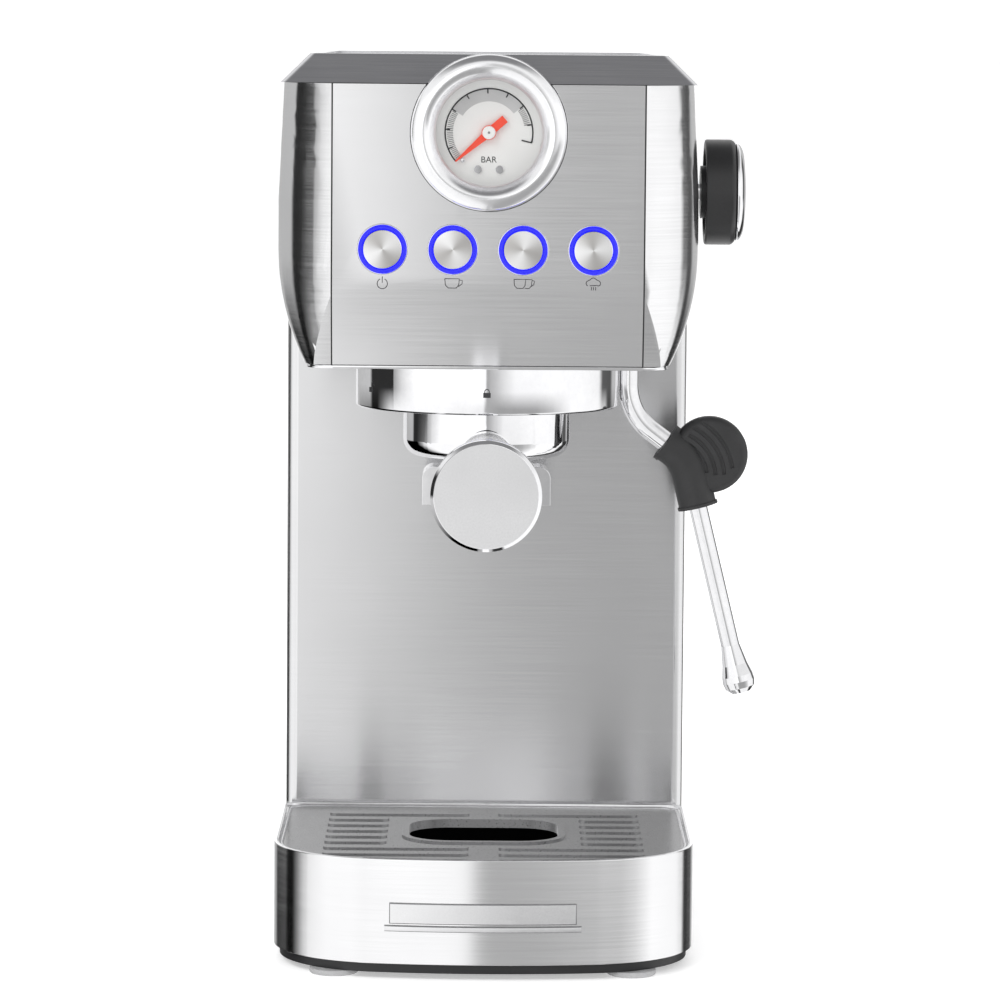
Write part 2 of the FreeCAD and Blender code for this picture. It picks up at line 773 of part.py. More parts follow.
bezel_back_y = head_front_y - bezel_stand + bezel_depth
dial_front_y = bezel_back_y - bezel_depth + bezel_lip
gauge_centre = (ZERO, bezel_back_y, gauge_z)


def gauge_bezel():
    """The chrome drum and its rolled front lip."""
    bore = bezel_radius - bezel_wall
    front = bezel_depth
    profile = [(bore, 0), (bezel_radius, 0), (bezel_radius, front - bezel_shoulder),
               (bezel_radius - bezel_round, front - bezel_round_drop),
               (bezel_radius - bezel_crown, front),
               (bezel_opening + bezel_flare, front - bezel_flare_drop),
               (bezel_opening, front - bezel_throat), (bezel_opening, front - bezel_lip),
               (bore, front - bezel_lip)]
    return turned("gauge_bezel", "-Y", gauge_centre, profile)


def gauge_case():
    """The movement's cup behind the dial, with the inlet stub of its capillary."""
    outer = bezel_radius - bezel_wall - seam
    start = dial_front_y + dial_thickness
    body = turned("case_body", "Y", (ZERO, start, gauge_z),
                  [(0, 0), (outer, 0), (outer, case_depth / 3), (outer * case_taper, case_depth / 3),
                   (outer * case_taper, case_depth), (0, case_depth)])
    stub = cylinder("case_stub", "Y", (ZERO, start + case_depth - seam, gauge_z), stop_pin_radius * 3,
                    case_depth / 3)
    return fuse("gauge_case", body, stub)


def gauge_dial():
    """The white dial plate with the needle's stop pin."""
    disc = cylinder("dial_disc", "Y", (ZERO, dial_front_y, gauge_z), bezel_radius - bezel_wall - seam,
                    dial_thickness)
    pin = cylinder("dial_pin", "Y", (-stop_pin_x, dial_front_y - needle_lift / 2, gauge_z - stop_pin_drop),
                   stop_pin_radius, dial_thickness)
    return fuse("gauge_dial", disc, pin)


def gauge_needle():
    """The red pointer on its hub; it stands at the scale's start."""
    hub = cylinder("needle_boss", "Y", (ZERO, dial_front_y - needle_lift - needle_thickness * 2, gauge_z),
                   needle_hub, needle_thickness * 3)
    blade = plate("needle_blade", "XZ",
                  [(-needle_tail, -needle_half), (0, -needle_half), (needle_length, -needle_tip),
                   (needle_length, needle_tip), (0, needle_half), (-needle_tail, needle_half)],
                  ZERO, needle_thickness)
    turn = FreeCAD.Rotation(FreeCAD.Vector(0, 1, 0), -needle_rest.value)
    place(blade, (ZERO, dial_front_y - needle_lift - needle_thickness, gauge_z), turn)
    return fuse("gauge_needle", hub, blade)


def gauge_glass():
    """The flat glass in the bezel's opening."""
    front = bezel_back_y - bezel_depth + glass_inset
    return turned("gauge_glass", "-Y", (ZERO, front + glass_thickness, gauge_z),
                  disc_profile(bezel_opening, 0, glass_thickness, glass_thickness / 4))


def dial_screws():
    """The two small screws that hold the dial."""
    screws = []
    for side in (-1, 1):
        screws.append(cylinder(f"dial_screw_{side + 1}", "Y",
                               (dial_screw_pitch / 2 * side, dial_front_y - dial_screw_height,
                                gauge_z - dial_screw_drop),
                               dial_screw_radius, dial_screw_height))
    return group("dial_screws", *screws)


# ---------------------------------------------------------------- buttons

button_z = size("button_z", 241.4)
button_pitch = size("button_pitch", 23.3)
button_radius = size("button_radius", 6.25)
button_stand = size("button_stand", 1.3)
button_length = size("button_length", 12.6)
button_flange = size("button_flange", 6.6)
button_stem = size("button_stem", 2.5)
button_edge = size("button_edge", 0.4)
button_travel = size("button_travel", 1.5)
ring_radius = size("ring_radius", 8.3)
ring_bore = size("ring_bore", 6.5)
ring_stand = size("ring_stand", 0.8)
ring_length = size("ring_length", 4.5)
ring_edge = size("ring_edge", 0.3)
board_thickness = size("board_thickness", 1.6)
board_half = size("board_half", 45)
board_height = size("board_height", 24)
button_count = 4
button_names = ("power_button", "single_cup_button", "double_cup_button", "steam_button")


def button_places():
    """The x of each button, from the left."""
    return [button_pitch * (number - (button_count - 1) / 2) for number in range(button_count)]


def push_button(name, button_x):
    """A turned aluminium cap on a stem that presses the switch behind it."""
    back = head_front_y - button_stand + button_length
    neck = button_length - button_flange
    profile = [(0, 0), (button_stem, 0), (button_stem, neck), (button_radius, neck),
               (button_radius, button_length - button_edge),
               (button_radius - button_edge, button_length), (0, button_length)]
    return turned(name, "-Y", (button_x, back, button_z), profile)


def button_light_rings():
    """The four clear rings that glow round the buttons."""
    rings = []
    for number, button_x in enumerate(button_places()):
        back = head_front_y - ring_stand + ring_length
        profile = [(ring_bore, 0), (ring_radius, 0), (ring_radius, ring_length - ring_edge),
                   (ring_radius - ring_edge, ring_length), (ring_bore + ring_edge, ring_length),
                   (ring_bore, ring_length - ring_edge)]
        rings.append(turned(f"light_ring_{number}", "-Y", (button_x, back, button_z), profile))
    return group("button_light_rings", *rings)


def button_board():
    """The switch board behind the fascia."""
    front = head_front_y - button_stand + button_length + button_travel + seam
    return box("button_board", (-board_half, front, button_z - board_height / 2),
               (board_half, front + board_thickness, button_z + board_height / 2))


# ---------------------------------------------------------------- steam knob and valve

knob_y = size("knob_y", -74)
knob_z = size("knob_z", 259.2)
knob_radius = size("knob_radius", 18)
knob_gap = size("knob_gap", 3.1)
knob_width = size("knob_width", 10.3)
knob_hub = size("knob_hub", 9)
knob_cap_height = size("knob_cap_height", 3.8)
knob_cap_inset = size("knob_cap_inset", 1)
knob_wall = size("knob_wall", 3)
knob_hollow = size("knob_hollow", 2)
knob_edge = size("knob_edge", 0.6)
cap_rim = size("cap_rim", 1.2)
cap_shoulder = size("cap_shoulder", 2.2)
cap_shoulder_inset = size("cap_shoulder_inset", 0.9)
cap_dome_share = size("cap_dome_share", 0.6)
cap_dome = size("cap_dome", 3.3)
spindle_radius = size("spindle_radius", 3)
spindle_length = size("spindle_length", 34)
valve_radius = size("valve_radius", 10)
valve_length = size("valve_length", 20)
valve_nose = size("valve_nose", 4)
valve_step = size("valve_step", 3)
valve_outlet_z = size("valve_outlet_z", 242)

knob_x = body_half + knob_gap
spindle_end_x = knob_x + knob_width - knob_gap
valve_x = spindle_end_x - spindle_length - knob_gap


def steam_knob():
    """The black knob, hollow behind, with a hub on the spindle."""
    width = knob_width
    profile = [(spindle_radius, -knob_gap / 2), (knob_hub, -knob_gap / 2), (knob_hub, knob_hollow),
               (knob_radius - knob_wall, knob_hollow), (knob_radius - knob_wall, 0), (knob_radius, 0),
               (knob_radius, width - knob_edge), (knob_radius - knob_edge, width), (0, width),
               (0, width - knob_gap),
               (spindle_radius, width - knob_gap)]
    return turned("steam_knob", "X", (knob_x, knob_y, knob_z), profile)


def steam_knob_cap():
    """The domed chrome cap on the knob's face."""
    radius = knob_radius - knob_cap_inset
    profile = [(0, 0), (radius, 0), (radius, cap_rim), (radius - cap_shoulder_inset, cap_shoulder),
               (radius * cap_dome_share, cap_dome), (0, knob_cap_height)]
    return turned("steam_knob_cap", "X", (knob_x + knob_width, knob_y, knob_z), profile)


def steam_spindle():
    """The shaft from the knob into the valve."""
    return cylinder("steam_spindle", "X", (spindle_end_x - spindle_length, knob_y, knob_z),
                    spindle_radius, spindle_length)


def steam_valve():
    """The brass steam tap inside the head."""
    bore = spindle_radius + shaft_play
    body = turned("valve_body", "X", (valve_x, knob_y, knob_z),
                  [(0, 0), (valve_radius, 0), (valve_radius, valve_length - valve_nose),
                   (valve_radius - valve_step, valve_length - valve_nose),
                   (valve_radius - valve_step, valve_length),
                   (bore, valve_length), (bore, knob_gap - seam), (0, knob_gap - seam)])
    outlet = cylinder("valve_outlet", "Z", (wand_x, wand_y, valve_outlet_z), hose_radius,
                      knob_z - valve_outlet_z)
    spindle_space = cylinder("valve_spindle_space", "X", (valve_x + knob_gap - seam, knob_y, knob_z),
                             bore, valve_length)
    return cut("steam_valve", fuse("valve_blank", body, outlet), spindle_space)


# ---------------------------------------------------------------- steam wand

wand_inset = size("wand_inset", 22.2)
wand_y = size("wand_y", -70)
wand_pipe_radius = size("wand_pipe_radius", 3.5)
wand_bend = size("wand_bend", 20)
wand_elbow_z = size("wand_elbow_z", 182.7)
wand_knee_inset = size("wand_knee_inset", 1.9)
wand_knee_z = size("wand_knee_z", 167.3)
wand_end_reach = size("wand_end_reach", 13.9)
wand_end_z = size("wand_end_z", 102.5)
wand_tube_radius = size("wand_tube_radius", 3.2)
wand_join = size("wand_join", 0.2)
socket_radius = size("socket_radius", 7)
socket_lift = size("socket_lift", 2.4)
socket_height = size("socket_height", 7.6)
socket_flange = size("socket_flange", 1.8)
grip_radius = size("grip_radius", 7.2)
grip_low_radius = size("grip_low_radius", 6)
grip_upper = size("grip_upper", 9.5)
grip_lower = size("grip_lower", 17.5)
grip_tab_radius = size("grip_tab_radius", 13.3)
grip_tab_thickness = size("grip_tab_thickness", 9)
grip_tab_reach = size("grip_tab_reach", 5.9)
grip_tab_z = size("grip_tab_z", 168.7)
tip_length = size("tip_length", 17.4)
tip_radius = size("tip_radius", 5.6)
# Radius and length shares of the nozzle's stations after its start.
tip_stations = ((0.78, 0.4), (0.96, 0.62), (1, 0.74), (0.9, 0.87), (0.6, 0.965))

wand_x = body_half - wand_inset
wand_knee_x = body_half - wand_knee_inset
wand_end_x = body_half + wand_end_reach
grip_tab_x = body_half + grip_tab_reach


def wand_points():
    """The centre line's corners: socket, elbow, knee and the end of the straight tube."""
    return [(wand_x, wand_y, frame_level - socket_flange), (wand_x, wand_y, wand_elbow_z),
            (wand_knee_x, wand_y, wand_knee_z), (wand_end_x, wand_y, wand_end_z)]


def between(first, second, share):
    """The point a share of the way from one point to another."""
    return tuple(a + (b - a) * share for a, b in zip(first, second))


def wand_turn(first, second):
    """The rotation that lays an object's Z along a run of the wand."""
    return FreeCAD.Rotation(FreeCAD.Vector(0, 0, 1), vector(second) - vector(first))


def wand_socket():
    """The swivel nut inside the head, on an arm from the steel deck."""
    low = head_bottom + socket_lift
    nut = cylinder("socket_nut", "Z", (wand_x, wand_y, low), socket_radius, socket_height)
    arm = box("socket_arm", (group_upper_radius + play, wand_y - socket_radius / 2,
                             frame_level - socket_flange),
              (wand_x, wand_y + socket_radius / 2, frame_level))
    bore = cylinder("socket_bore", "Z", (wand_x, wand_y, low - seam), wand_pipe_radius + shaft_play,
                    socket_height + socket_flange)
    return cut("wand_socket", fuse("socket_blank", nut, arm), bore)


def wand_pipe():
    """The bent chrome pipe from the socket into the grip."""
    points = wand_points()
    points[3] = between(points[2], points[3], wand_join)
    return bent_tube("wand_pipe", points, wand_bend, wand_pipe_radius)


def wand_tube():
    """The straight steel tube that goes into the milk."""
    knee, end = wand_points()[2:]
    start = between(knee, end, wand_join)
    length = (vector(end) - vector(start)).Length
    bar = doc.addObject("Part::Cylinder", "wand_tube")
    bar.Height = length
    bind(bar, "Radius", wand_tube_radius)
    bar.Radius = wand_tube_radius.value
    return place(bar, start, wand_turn(knee, end))


def wand_tip():
    """The teardrop nozzle at the end of the tube."""
    knee, end = wand_points()[2:]
    profile = [(0, 0), (wand_tube_radius, 0)]
    profile += [(tip_radius * wide, tip_length * far) for wide, far in tip_stations]
    profile.append((0, tip_length))
    tip = turned("wand_tip", "Z", end, profile)
    return place(tip, end, wand_turn(knee, end))


def wand_grip():
    """The rubber grip: a sleeve round the knee with a round finger tab."""
    elbow, knee, end = wand_points()[1:]
    upper_run = vector(knee) - vector(elbow)
    lower_run = vector(end) - vector(knee)
    upper_start = between(knee, elbow, grip_upper / upper_run.Length)
    lower_end = between(knee, end, grip_lower / lower_run.Length)
    upper = turned("grip_upper_sleeve", "Z", upper_start,
                   [(0, 0), (grip_radius, 0), (grip_radius, grip_upper), (0, grip_upper)])
    place(upper, upper_start, wand_turn(elbow, knee))
    lower = turned("grip_lower_sleeve", "Z", lower_end,
                   [(0, 0), (grip_low_radius, 0), (grip_radius, grip_lower), (0, grip_lower)])
    place(lower, lower_end, wand_turn(end, knee))
    ball = doc.addObject("Part::Sphere", "grip_ball")
    ball.Radius = grip_radius.value
    bind(ball, "Radius", grip_radius)
    place(ball, knee)
    tab = cylinder("grip_tab", "Y", (grip_tab_x, wand_y - grip_tab_thickness / 2, grip_tab_z),
                   grip_tab_radius, grip_tab_thickness)
    return cut("wand_grip", fuse("grip_blank", upper, ball, lower, tab),
               wand_pipe_tool(), wand_tube_tool())


def wand_pipe_tool():
    """The pipe's own space inside the grip."""
    points = wand_points()
    points[3] = between(points[2], points[3], wand_join)
    return bent_tube("grip_pipe_space", points, wand_bend, wand_pipe_radius)


def wand_tube_tool():
    """The tube's own space inside the grip."""
    knee, end = wand_points()[2:]
    start = between(knee, end, wand_join)
    space = doc.addObject("Part::Cylinder", "grip_tube_space")
    space.Height = (vector(end) - vector(start)).Length
    space.Radius = wand_tube_radius.value
    bind(space, "Radius", wand_tube_radius)
    return place(space, start, wand_turn(knee, end))


# ---------------------------------------------------------------- brewing group

group_y = size("group_y", -79)
collar_radius = size("collar_radius", 44.9)
collar_low = size("collar_low", 185.6)
collar_top = size("collar_top", 204)
collar_wall = size("collar_wall", 1.2)
collar_bore = size("collar_bore", 37)
collar_edge = size("collar_edge", 0.8)
group_skirt_radius = size("group_skirt_radius", 43)
group_skirt_bore = size("group_skirt_bore", 34.2)
lip_bore = size("lip_bore", 30.6)
lip_height = size("lip_height", 1.8)
group_face = size("group_face", 197)
group_shoulder = size("group_shoulder", 202)
group_upper_radius = size("group_upper_radius", 36)
steam_bore = size("steam_bore", 6)
lug_reach = size("lug_reach", 33.6)
lug_height = size("lug_height", 2.4)
lug_width = size("lug_width", 22)
entry_width = size("entry_width", 25)
lock_angle = size("lock_angle", 65)
gasket_bore = size("gasket_bore", 26)
gasket_radius = size("gasket_radius", 30.4)
gasket_height = size("gasket_height", 4.8)
screen_radius = size("screen_radius", 25.6)
screen_height = size("screen_height", 1)
screen_low = size("screen_low", 193.6)
screen_screw_radius = size("screen_screw_radius", 4)
screen_screw_shank = size("screen_screw_shank", 2.5)
screen_gap = size("screen_gap", 0.6)
screw_head_rim = size("screw_head_rim", 1)
screw_head_height = size("screw_head_height", 2)

group_skirt_low = collar_low + collar_wall + seam
lug_low = group_skirt_low + lip_height + play
group_centre = (ZERO, group_y, ZERO)


def group_collar():
    """The chrome collar round the group, turned in at its lower edge."""
    inner = collar_radius - collar_wall
    low = collar_low
    profile = [(collar_bore, low), (collar_radius - collar_edge, low), (collar_radius, low + collar_edge),
               (collar_radius, collar_top), (inner, collar_top), (inner, low + collar_wall),
               (collar_bore, low + collar_wall)]
    return turned("group_collar", "Z", group_centre, profile)


def group_head():
    """The cast group with the bayonet lip that the portafilter's lugs lock over."""
    lip_top = group_skirt_low + lip_height
    boss = screen_radius - screen_gap
    profile = [(0, screen_low + screen_height), (boss, screen_low + screen_height),
               (boss, group_face), (group_skirt_bore, group_face),
               (group_skirt_bore, lip_top), (lip_bore, lip_top), (lip_bore, group_skirt_low),
               (group_skirt_radius - seam, group_skirt_low), (group_skirt_radius - seam, group_shoulder),
               (group_upper_radius, group_shoulder), (group_upper_radius, frame_level),
               (0, frame_level)]
    blank = turned("group_blank", "Z", group_centre, profile)
    entry = box("lug_entry", (-group_skirt_bore, -entry_width / 2, group_skirt_low - seam),
                (group_skirt_bore, entry_width / 2, lip_top + seam))
    turn = FreeCAD.Rotation(FreeCAD.Vector(0, 0, 1), -lock_angle.value)
    corner = turn.multVec(FreeCAD.Vector(-group_skirt_bore.value, -entry_width.value / 2, 0))
    entry.setExpression("Placement.Base.x", None)
    entry.setExpression("Placement.Base.y", None)
    entry.Placement = FreeCAD.Placement(
        FreeCAD.Vector(corner.x, corner.y + group_y.value, (group_skirt_low - seam).value), turn)
    shank = cylinder("screen_screw_hole", "Z", (ZERO, group_y, screen_low), screen_screw_shank,
                     frame_level - screen_low - screw_head_height)
    return cut("group_head", blank, entry, shank)


def group_gasket():
    """The rubber seal that the basket's rim presses on."""
    return turned("group_gasket", "Z", group_centre,
                  tube_profile(gasket_bore, gasket_radius, group_face - gasket_height, group_face))


def shower_screen():
    """The steel screen that spreads the water."""
    return turned("shower_screen", "Z", group_centre,
                  tube_profile(screen_screw_shank, screen_radius, screen_low, screen_low + screen_height))


def shower_screw():
    """The screw that holds the screen."""
    return turned("shower_screw", "Z", group_centre,
                  [(0, screen_low - screw_head_height), (screen_screw_radius, screen_low - screw_head_rim),
                   (screen_screw_radius, screen_low), (screen_screw_shank, screen_low),
                   (screen_screw_shank, frame_level - screw_head_height),
                   (0, frame_level - screw_head_height)])


# ---------------------------------------------------------------- portafilter

bowl_radius = size("bowl_radius", 28.6)
bowl_bore = size("bowl_bore", 25.4)
bowl_top = size("bowl_top", 191.5)
bowl_low = size("bowl_low", 168.5)
bowl_corner = size("bowl_corner", 6)
bowl_floor = size("bowl_floor", 171.5)
outlet_radius = size("outlet_radius", 4)
basket_radius = size("basket_radius", 24.2)
basket_wall = size("basket_wall", 0.6)
basket_low = size("basket_low", 173.2)
basket_rim = size("basket_rim", 27.8)
basket_corner = size("basket_corner", 3)
basket_inner_corner = size("basket_inner_corner", 2.6)
clip_wire = size("clip_wire", 0.5)
clip_z = size("clip_z", 186)
spout_half = size("spout_half", 22)
spout_depth = size("spout_depth", 15)
spout_low = size("spout_low", 151.9)
spout_arch = size("spout_arch", 10.5)
spout_arch_height = size("spout_arch_height", 6)
spout_bore = size("spout_bore", 3.2)
spout_corner = size("spout_corner", 4)
spout_bore_share = size("spout_bore_share", 0.7)
spout_neck_radius = size("spout_neck_radius", 10)
spout_neck_height = size("spout_neck_height", 3.2)
handle_z = size("handle_z", 169.9)
handle_neck = size("handle_neck", 9.4)
handle_rod = size("handle_rod", 5)
arm_radius = size("arm_radius", 7)
ferrule_start = size("ferrule_start", 30.2)
ferrule_length = size("ferrule_length", 7.8)
handle_length = size("handle_length", 126)
handle_end_radius = size("handle_end_radius", 17.4)
handle_cap_height = size("handle_cap_height", 3.6)
handle_cap_edge = size("handle_cap_edge", 1.1)
rod_length = size("rod_length", 70)
rod_overlap = size("rod_overlap", 1)
ferrule_edge = size("ferrule_edge", 1)
# Swell and length shares of the handle's stations after its neck.
handle_stations = ((0.12, 0.2), (0.35, 0.45), (0.65, 0.7), (0.95, 0.94))

ferrule_y = group_y - ferrule_start
handle_start_y = ferrule_y - ferrule_length
handle_end_y = handle_start_y - handle_length


def portafilter_bowl():
    """The forged bowl with two locking lugs and the arm that the handle screws on."""
    bowl = turned("bowl_wall", "Z", group_centre,
                  [(outlet_radius, bowl_low), (bowl_radius - bowl_corner, bowl_low),
                   (bowl_radius, bowl_low + bowl_corner, bowl_corner),
                   (bowl_radius, bowl_top), (bowl_bore, bowl_top), (bowl_bore, bowl_floor),
                   (outlet_radius, bowl_floor)])
    lug_ring = turned("lug_ring", "Z", group_centre,
                      tube_profile(bowl_bore, lug_reach, lug_low, lug_low + lug_height))
    lug_window = box("lug_window", (-lug_reach, group_y - lug_width / 2, lug_low),
                     (lug_reach, group_y + lug_width / 2, lug_low + lug_height))
    lugs = common("lugs", lug_ring, lug_window)
    arm_start = group_y - (bowl_radius + bowl_bore) / 2
    arm = cylinder("arm", "-Y", (ZERO, arm_start, handle_z), arm_radius,
                   arm_start - handle_start_y)
    rod = cylinder("rod", "-Y", (ZERO, handle_start_y + rod_overlap, handle_z), handle_rod,
                   rod_length + rod_overlap)
    inside = cylinder("bowl_inside", "Z", (ZERO, group_y, bowl_floor), bowl_bore,
                      bowl_top - bowl_floor)
    return fuse("portafilter_bowl", bowl, lugs, cut("arm_outside", fuse("arm_rod", arm, rod), inside))


def filter_basket():
    """The pressed steel basket that holds the coffee."""
    radius, inner = basket_radius, basket_radius - basket_wall
    low, top = basket_low, bowl_top + basket_wall
    return turned("filter_basket", "Z", group_centre,
                  [(0, low), (radius - basket_corner, low), (radius, low + basket_corner),
                   (radius, bowl_top), (basket_rim, bowl_top), (basket_rim, top), (inner, top),
                   (inner, low + basket_corner),
                   (inner - basket_inner_corner, low + basket_wall), (0, low + basket_wall)])


def basket_clip():
    """The spring wire that keeps the basket in the bowl."""
    wire = doc.addObject("Part::Torus", "basket_clip")
    middle = (bowl_bore + basket_radius) / 2
    for prop, amount in (("Radius1", middle), ("Radius2", clip_wire)):
        setattr(wire, prop, amount.value)
        bind(wire, prop, amount)
    return place(wire, (ZERO, group_y, clip_z))


def portafilter_spout():
    """The double spout under the bowl."""
    high = bowl_low - seam / 2 - spout_neck_height
    corners = [(spout_half, spout_low), (spout_half, high - spout_corner),
               (spout_half - spout_corner, high, spout_corner), (-spout_half + spout_corner, high),
               (-spout_half, high - spout_corner, spout_corner), (-spout_half, spout_low),
               (-spout_arch, spout_low), (-spout_arch, spout_low + spout_arch_height),
               (spout_arch, spout_low + spout_arch_height), (spout_arch, spout_low)]
    blank = plate("spout_blank", "XZ", corners, group_y - spout_depth / 2, spout_depth)
    bores = []
    for side in (-1, 1):
        middle = (spout_half + spout_arch) / 2 * side
        bores.append(cylinder(f"spout_bore_{side + 1}", "Z", (middle, group_y, spout_low), spout_bore,
                              (high - spout_low) * spout_bore_share))
    neck = cylinder("spout_neck", "Z", (ZERO, group_y, high - spout_corner), spout_neck_radius,
                    spout_neck_height + spout_corner)
    return cut("portafilter_spout", fuse("spout_solid", blank, neck), *bores)


def handle_ferrule():
    """The polished ring between the bowl's arm and the handle."""
    return turned("handle_ferrule", "-Y", (ZERO, ferrule_y, handle_z),
                  [(arm_radius, 0), (handle_neck - ferrule_edge, 0), (handle_neck, ferrule_edge),
                   (handle_neck, ferrule_length), (arm_radius, ferrule_length)])


def portafilter_handle():
    """The long handle that swells towards its end."""
    length, end = handle_length, handle_end_radius
    swell = end - handle_neck
    profile = [(0, rod_length), (handle_rod, rod_length), (handle_rod, 0), (handle_neck, 0)]
    profile += [(handle_neck + swell * grown, length * far) for grown, far in handle_stations]
    profile += [(end, length), (0, length)]
    return turned("portafilter_handle", "-Y", (ZERO, handle_start_y, handle_z), profile)


def handle_end_cap():
    """The flat metal disc on the handle's end."""
    return turned("handle_end_cap", "-Y", (ZERO, handle_end_y, handle_z),
                  disc_profile(handle_end_radius, 0, handle_cap_height, handle_cap_edge))


# ---------------------------------------------------------------- water tank

tank_half = size("tank_half", 66)
tank_gap = size("tank_gap", 0.8)
tank_low = size("tank_low", 16)
tank_top = size("tank_top", 290)
tank_wall = size("tank_wall", 2.4)
tank_corner = size("tank_corner", 12)
tank_rear_drop = size("tank_rear_drop", 3)
ear_x = size("ear_x", 40)
ear_width = size("ear_width", 4)
lid_axis_inset = size("lid_axis_inset", 2.6)
lid_axis_lift = size("lid_axis_lift", 4.5)
lid_pin = size("lid_pin", 1.5)
lid_thickness = size("lid_thickness", 2.6)
lid_lift = size("lid_lift", 0.4)
lid_back_inset = size("lid_back_inset", 6.2)
barrel_radius = size("barrel_radius", 2.3)
valve_hole = size("valve_hole", 5)
poppet_radius = size("poppet_radius", 8)
poppet_stem = size("poppet_stem", 4.7)
poppet_height = size("poppet_height", 3)
dock_floor = size("dock_floor", 3)
dock_pocket_gap = size("dock_pocket_gap", 4)
dock_pin_low = size("dock_pin_low", 2)
dock_pin_inset = size("dock_pin_inset", 1)
web_overlap = size("web_overlap", 3)
web_lift = size("web_lift", 0.6)
rise_inset = size("rise_inset", 0.4)

tank_front_y = rear_y + rear_thickness + tank_gap
lid_axis_y = back_y - lid_axis_inset
lid_axis_z = tank_top + lid_axis_lift
tank_middle_y = (tank_front_y + back_y) / 2


def tank_dock():
    """The black seat behind the column that the tank stands on."""
    seat = box("dock_seat", (-tank_half, tank_front_y, base_top),
               (tank_half, back_y, tank_low - play))
    pocket = cylinder("dock_pocket", "Z", (ZERO, tank_middle_y, base_top + dock_floor),
                      poppet_radius + dock_pocket_gap, tank_low)
    pin_low = base_top + dock_pin_low
    pin = cylinder("dock_pin", "Z", (ZERO, tank_middle_y, pin_low), poppet_stem - dock_pin_inset,
                   tank_low - play * 2 - pin_low)
    gland_hole = cylinder("dock_gland_hole", "-Y", (gland_x, back_y + seam, gland_z), gland_radius,
                          gland_length)
    return cut("tank_dock", fuse("dock_blank", cut("dock_open", seat, pocket), pin), gland_hole)


def water_tank():
    """The smoked clear tank with a valve hole in its floor and two hinge ears."""
    outer = plate("tank_outer", "XY", rounded(-tank_half, tank_half, tank_front_y, back_y, tank_corner),
                  tank_low, tank_top - tank_low)
    half = tank_half - tank_wall
    inner = plate("tank_inner", "XY",
                  rounded(-half, half, tank_front_y + tank_wall, back_y - tank_wall,
                          tank_corner - tank_wall),
                  tank_low + tank_wall, tank_top - tank_low)
    notch = box("tank_notch", (-tank_half, back_y - tank_corner, tank_top - tank_rear_drop),
                (tank_half, back_y + seam, tank_top + seam))
    hole = cylinder("tank_valve_hole", "Z", (ZERO, tank_middle_y, tank_low - seam), valve_hole,
                    tank_wall * 2)
    ears, bores = [], []
    for side in (-1, 1):
        low, high = ear_x * side - ear_width / 2, ear_x * side + ear_width / 2
        ears.append(box(f"ear_{side + 1}", (low, lid_axis_y - lid_axis_inset, tank_top - lid_thickness * 4),
                        (high, back_y, lid_axis_z + lid_axis_inset)))
        bores.append(cylinder(f"ear_bore_{side + 1}", "X", (low - seam, lid_axis_y, lid_axis_z),
                              lid_pin + shaft_play, ear_width + seam * 2))
    shell = cut("tank_shell", outer, inner, notch, hole)
    return cut("water_tank", fuse("tank_blank", shell, *ears), *bores)


def tank_lid():
    """The lid with its hinge barrel and pins."""
    low = tank_top + lid_lift
    panel = plate("lid_panel", "XY",
                  rounded(-tank_half, tank_half, tank_front_y, back_y - lid_back_inset, tank_corner / 2),
                  low, lid_thickness)
    inner_x = ear_x - ear_width / 2 - play
    barrel = cylinder("lid_barrel", "X", (-inner_x, lid_axis_y, lid_axis_z), barrel_radius, inner_x * 2)
    pins = cylinder("lid_pins", "X", (-ear_x - ear_width / 2, lid_axis_y, lid_axis_z), lid_pin,
                    ear_x * 2 + ear_width)
    web = box("lid_web", (-inner_x, back_y - lid_back_inset - web_overlap, low + web_lift),
              (inner_x, lid_axis_y, low + lid_thickness))
    rise = box("lid_rise", (-inner_x, lid_axis_y - barrel_radius + rise_inset, low + lid_thickness / 2),
               (inner_x, lid_axis_y, lid_axis_z))
    return fuse("tank_lid", panel, barrel, pins, web, rise)


def tank_valve():
    """The sprung poppet that shuts the tank when it is lifted off."""
    return turned("tank_valve", "Z", (ZERO, tank_middle_y, ZERO),
                  [(0, tank_low), (poppet_stem, tank_low), (poppet_stem, tank_low + tank_wall + play),
                   (poppet_radius, tank_low + tank_wall + play),
                   (poppet_radius, tank_low + tank_wall + poppet_height),
                   (0, tank_low + tank_wall + poppet_height)])


# ---------------------------------------------------------------- inside the column

pump_x = size("pump_x", -28)
pump_y = size("pump_y", 30)
pump_low = size("pump_low", 62)
pump_radius = size("pump_radius", 21)
pump_length = size("pump_length", 70)
mount_height = size("mount_height", 8)
pump_inlet = size("pump_inlet", 8)
pump_inlet_share = size("pump_inlet_share", 0.5)
pump_outlet = size("pump_outlet", 8)
pump_outlet_share = size("pump_outlet_share", 0.6)
mount_play = size("mount_play", 0.4)
boiler_half = size("boiler_half", 36)
boiler_front = size("boiler_front", -104)
boiler_depth = size("boiler_depth", 66)
boiler_height = size("boiler_height", 32)
groove_count = 5
groove_first = size("groove_first", 8)
groove_pitch = size("groove_pitch", 12)
groove_width = size("groove_width", 5)
groove_depth = size("groove_depth", 4)
brew_valve_x = size("brew_valve_x", 24)
brew_valve_y = size("brew_valve_y", 34)
brew_valve_low = size("brew_valve_low", 120)
brew_coil_width = size("brew_coil_width", 30)
brew_coil_depth = size("brew_coil_depth", 26)
brew_coil_height = size("brew_coil_height", 28)
brew_stem_radius = size("brew_stem_radius", 7)
brew_stem_below = size("brew_stem_below", 16)
brew_stem_above = size("brew_stem_above", 40)
board_x = size("board_x", 52)
board_y = size("board_y", 2)
main_board_low = size("main_board_low", 140)
main_board_height = size("main_board_height", 56)
main_board_depth = size("main_board_depth", 76)
relay_size = size("relay_size", 14)
hose_radius = size("hose_radius", 3)
hose_bend = size("hose_bend", 14)
hose_low = size("hose_low", 12)
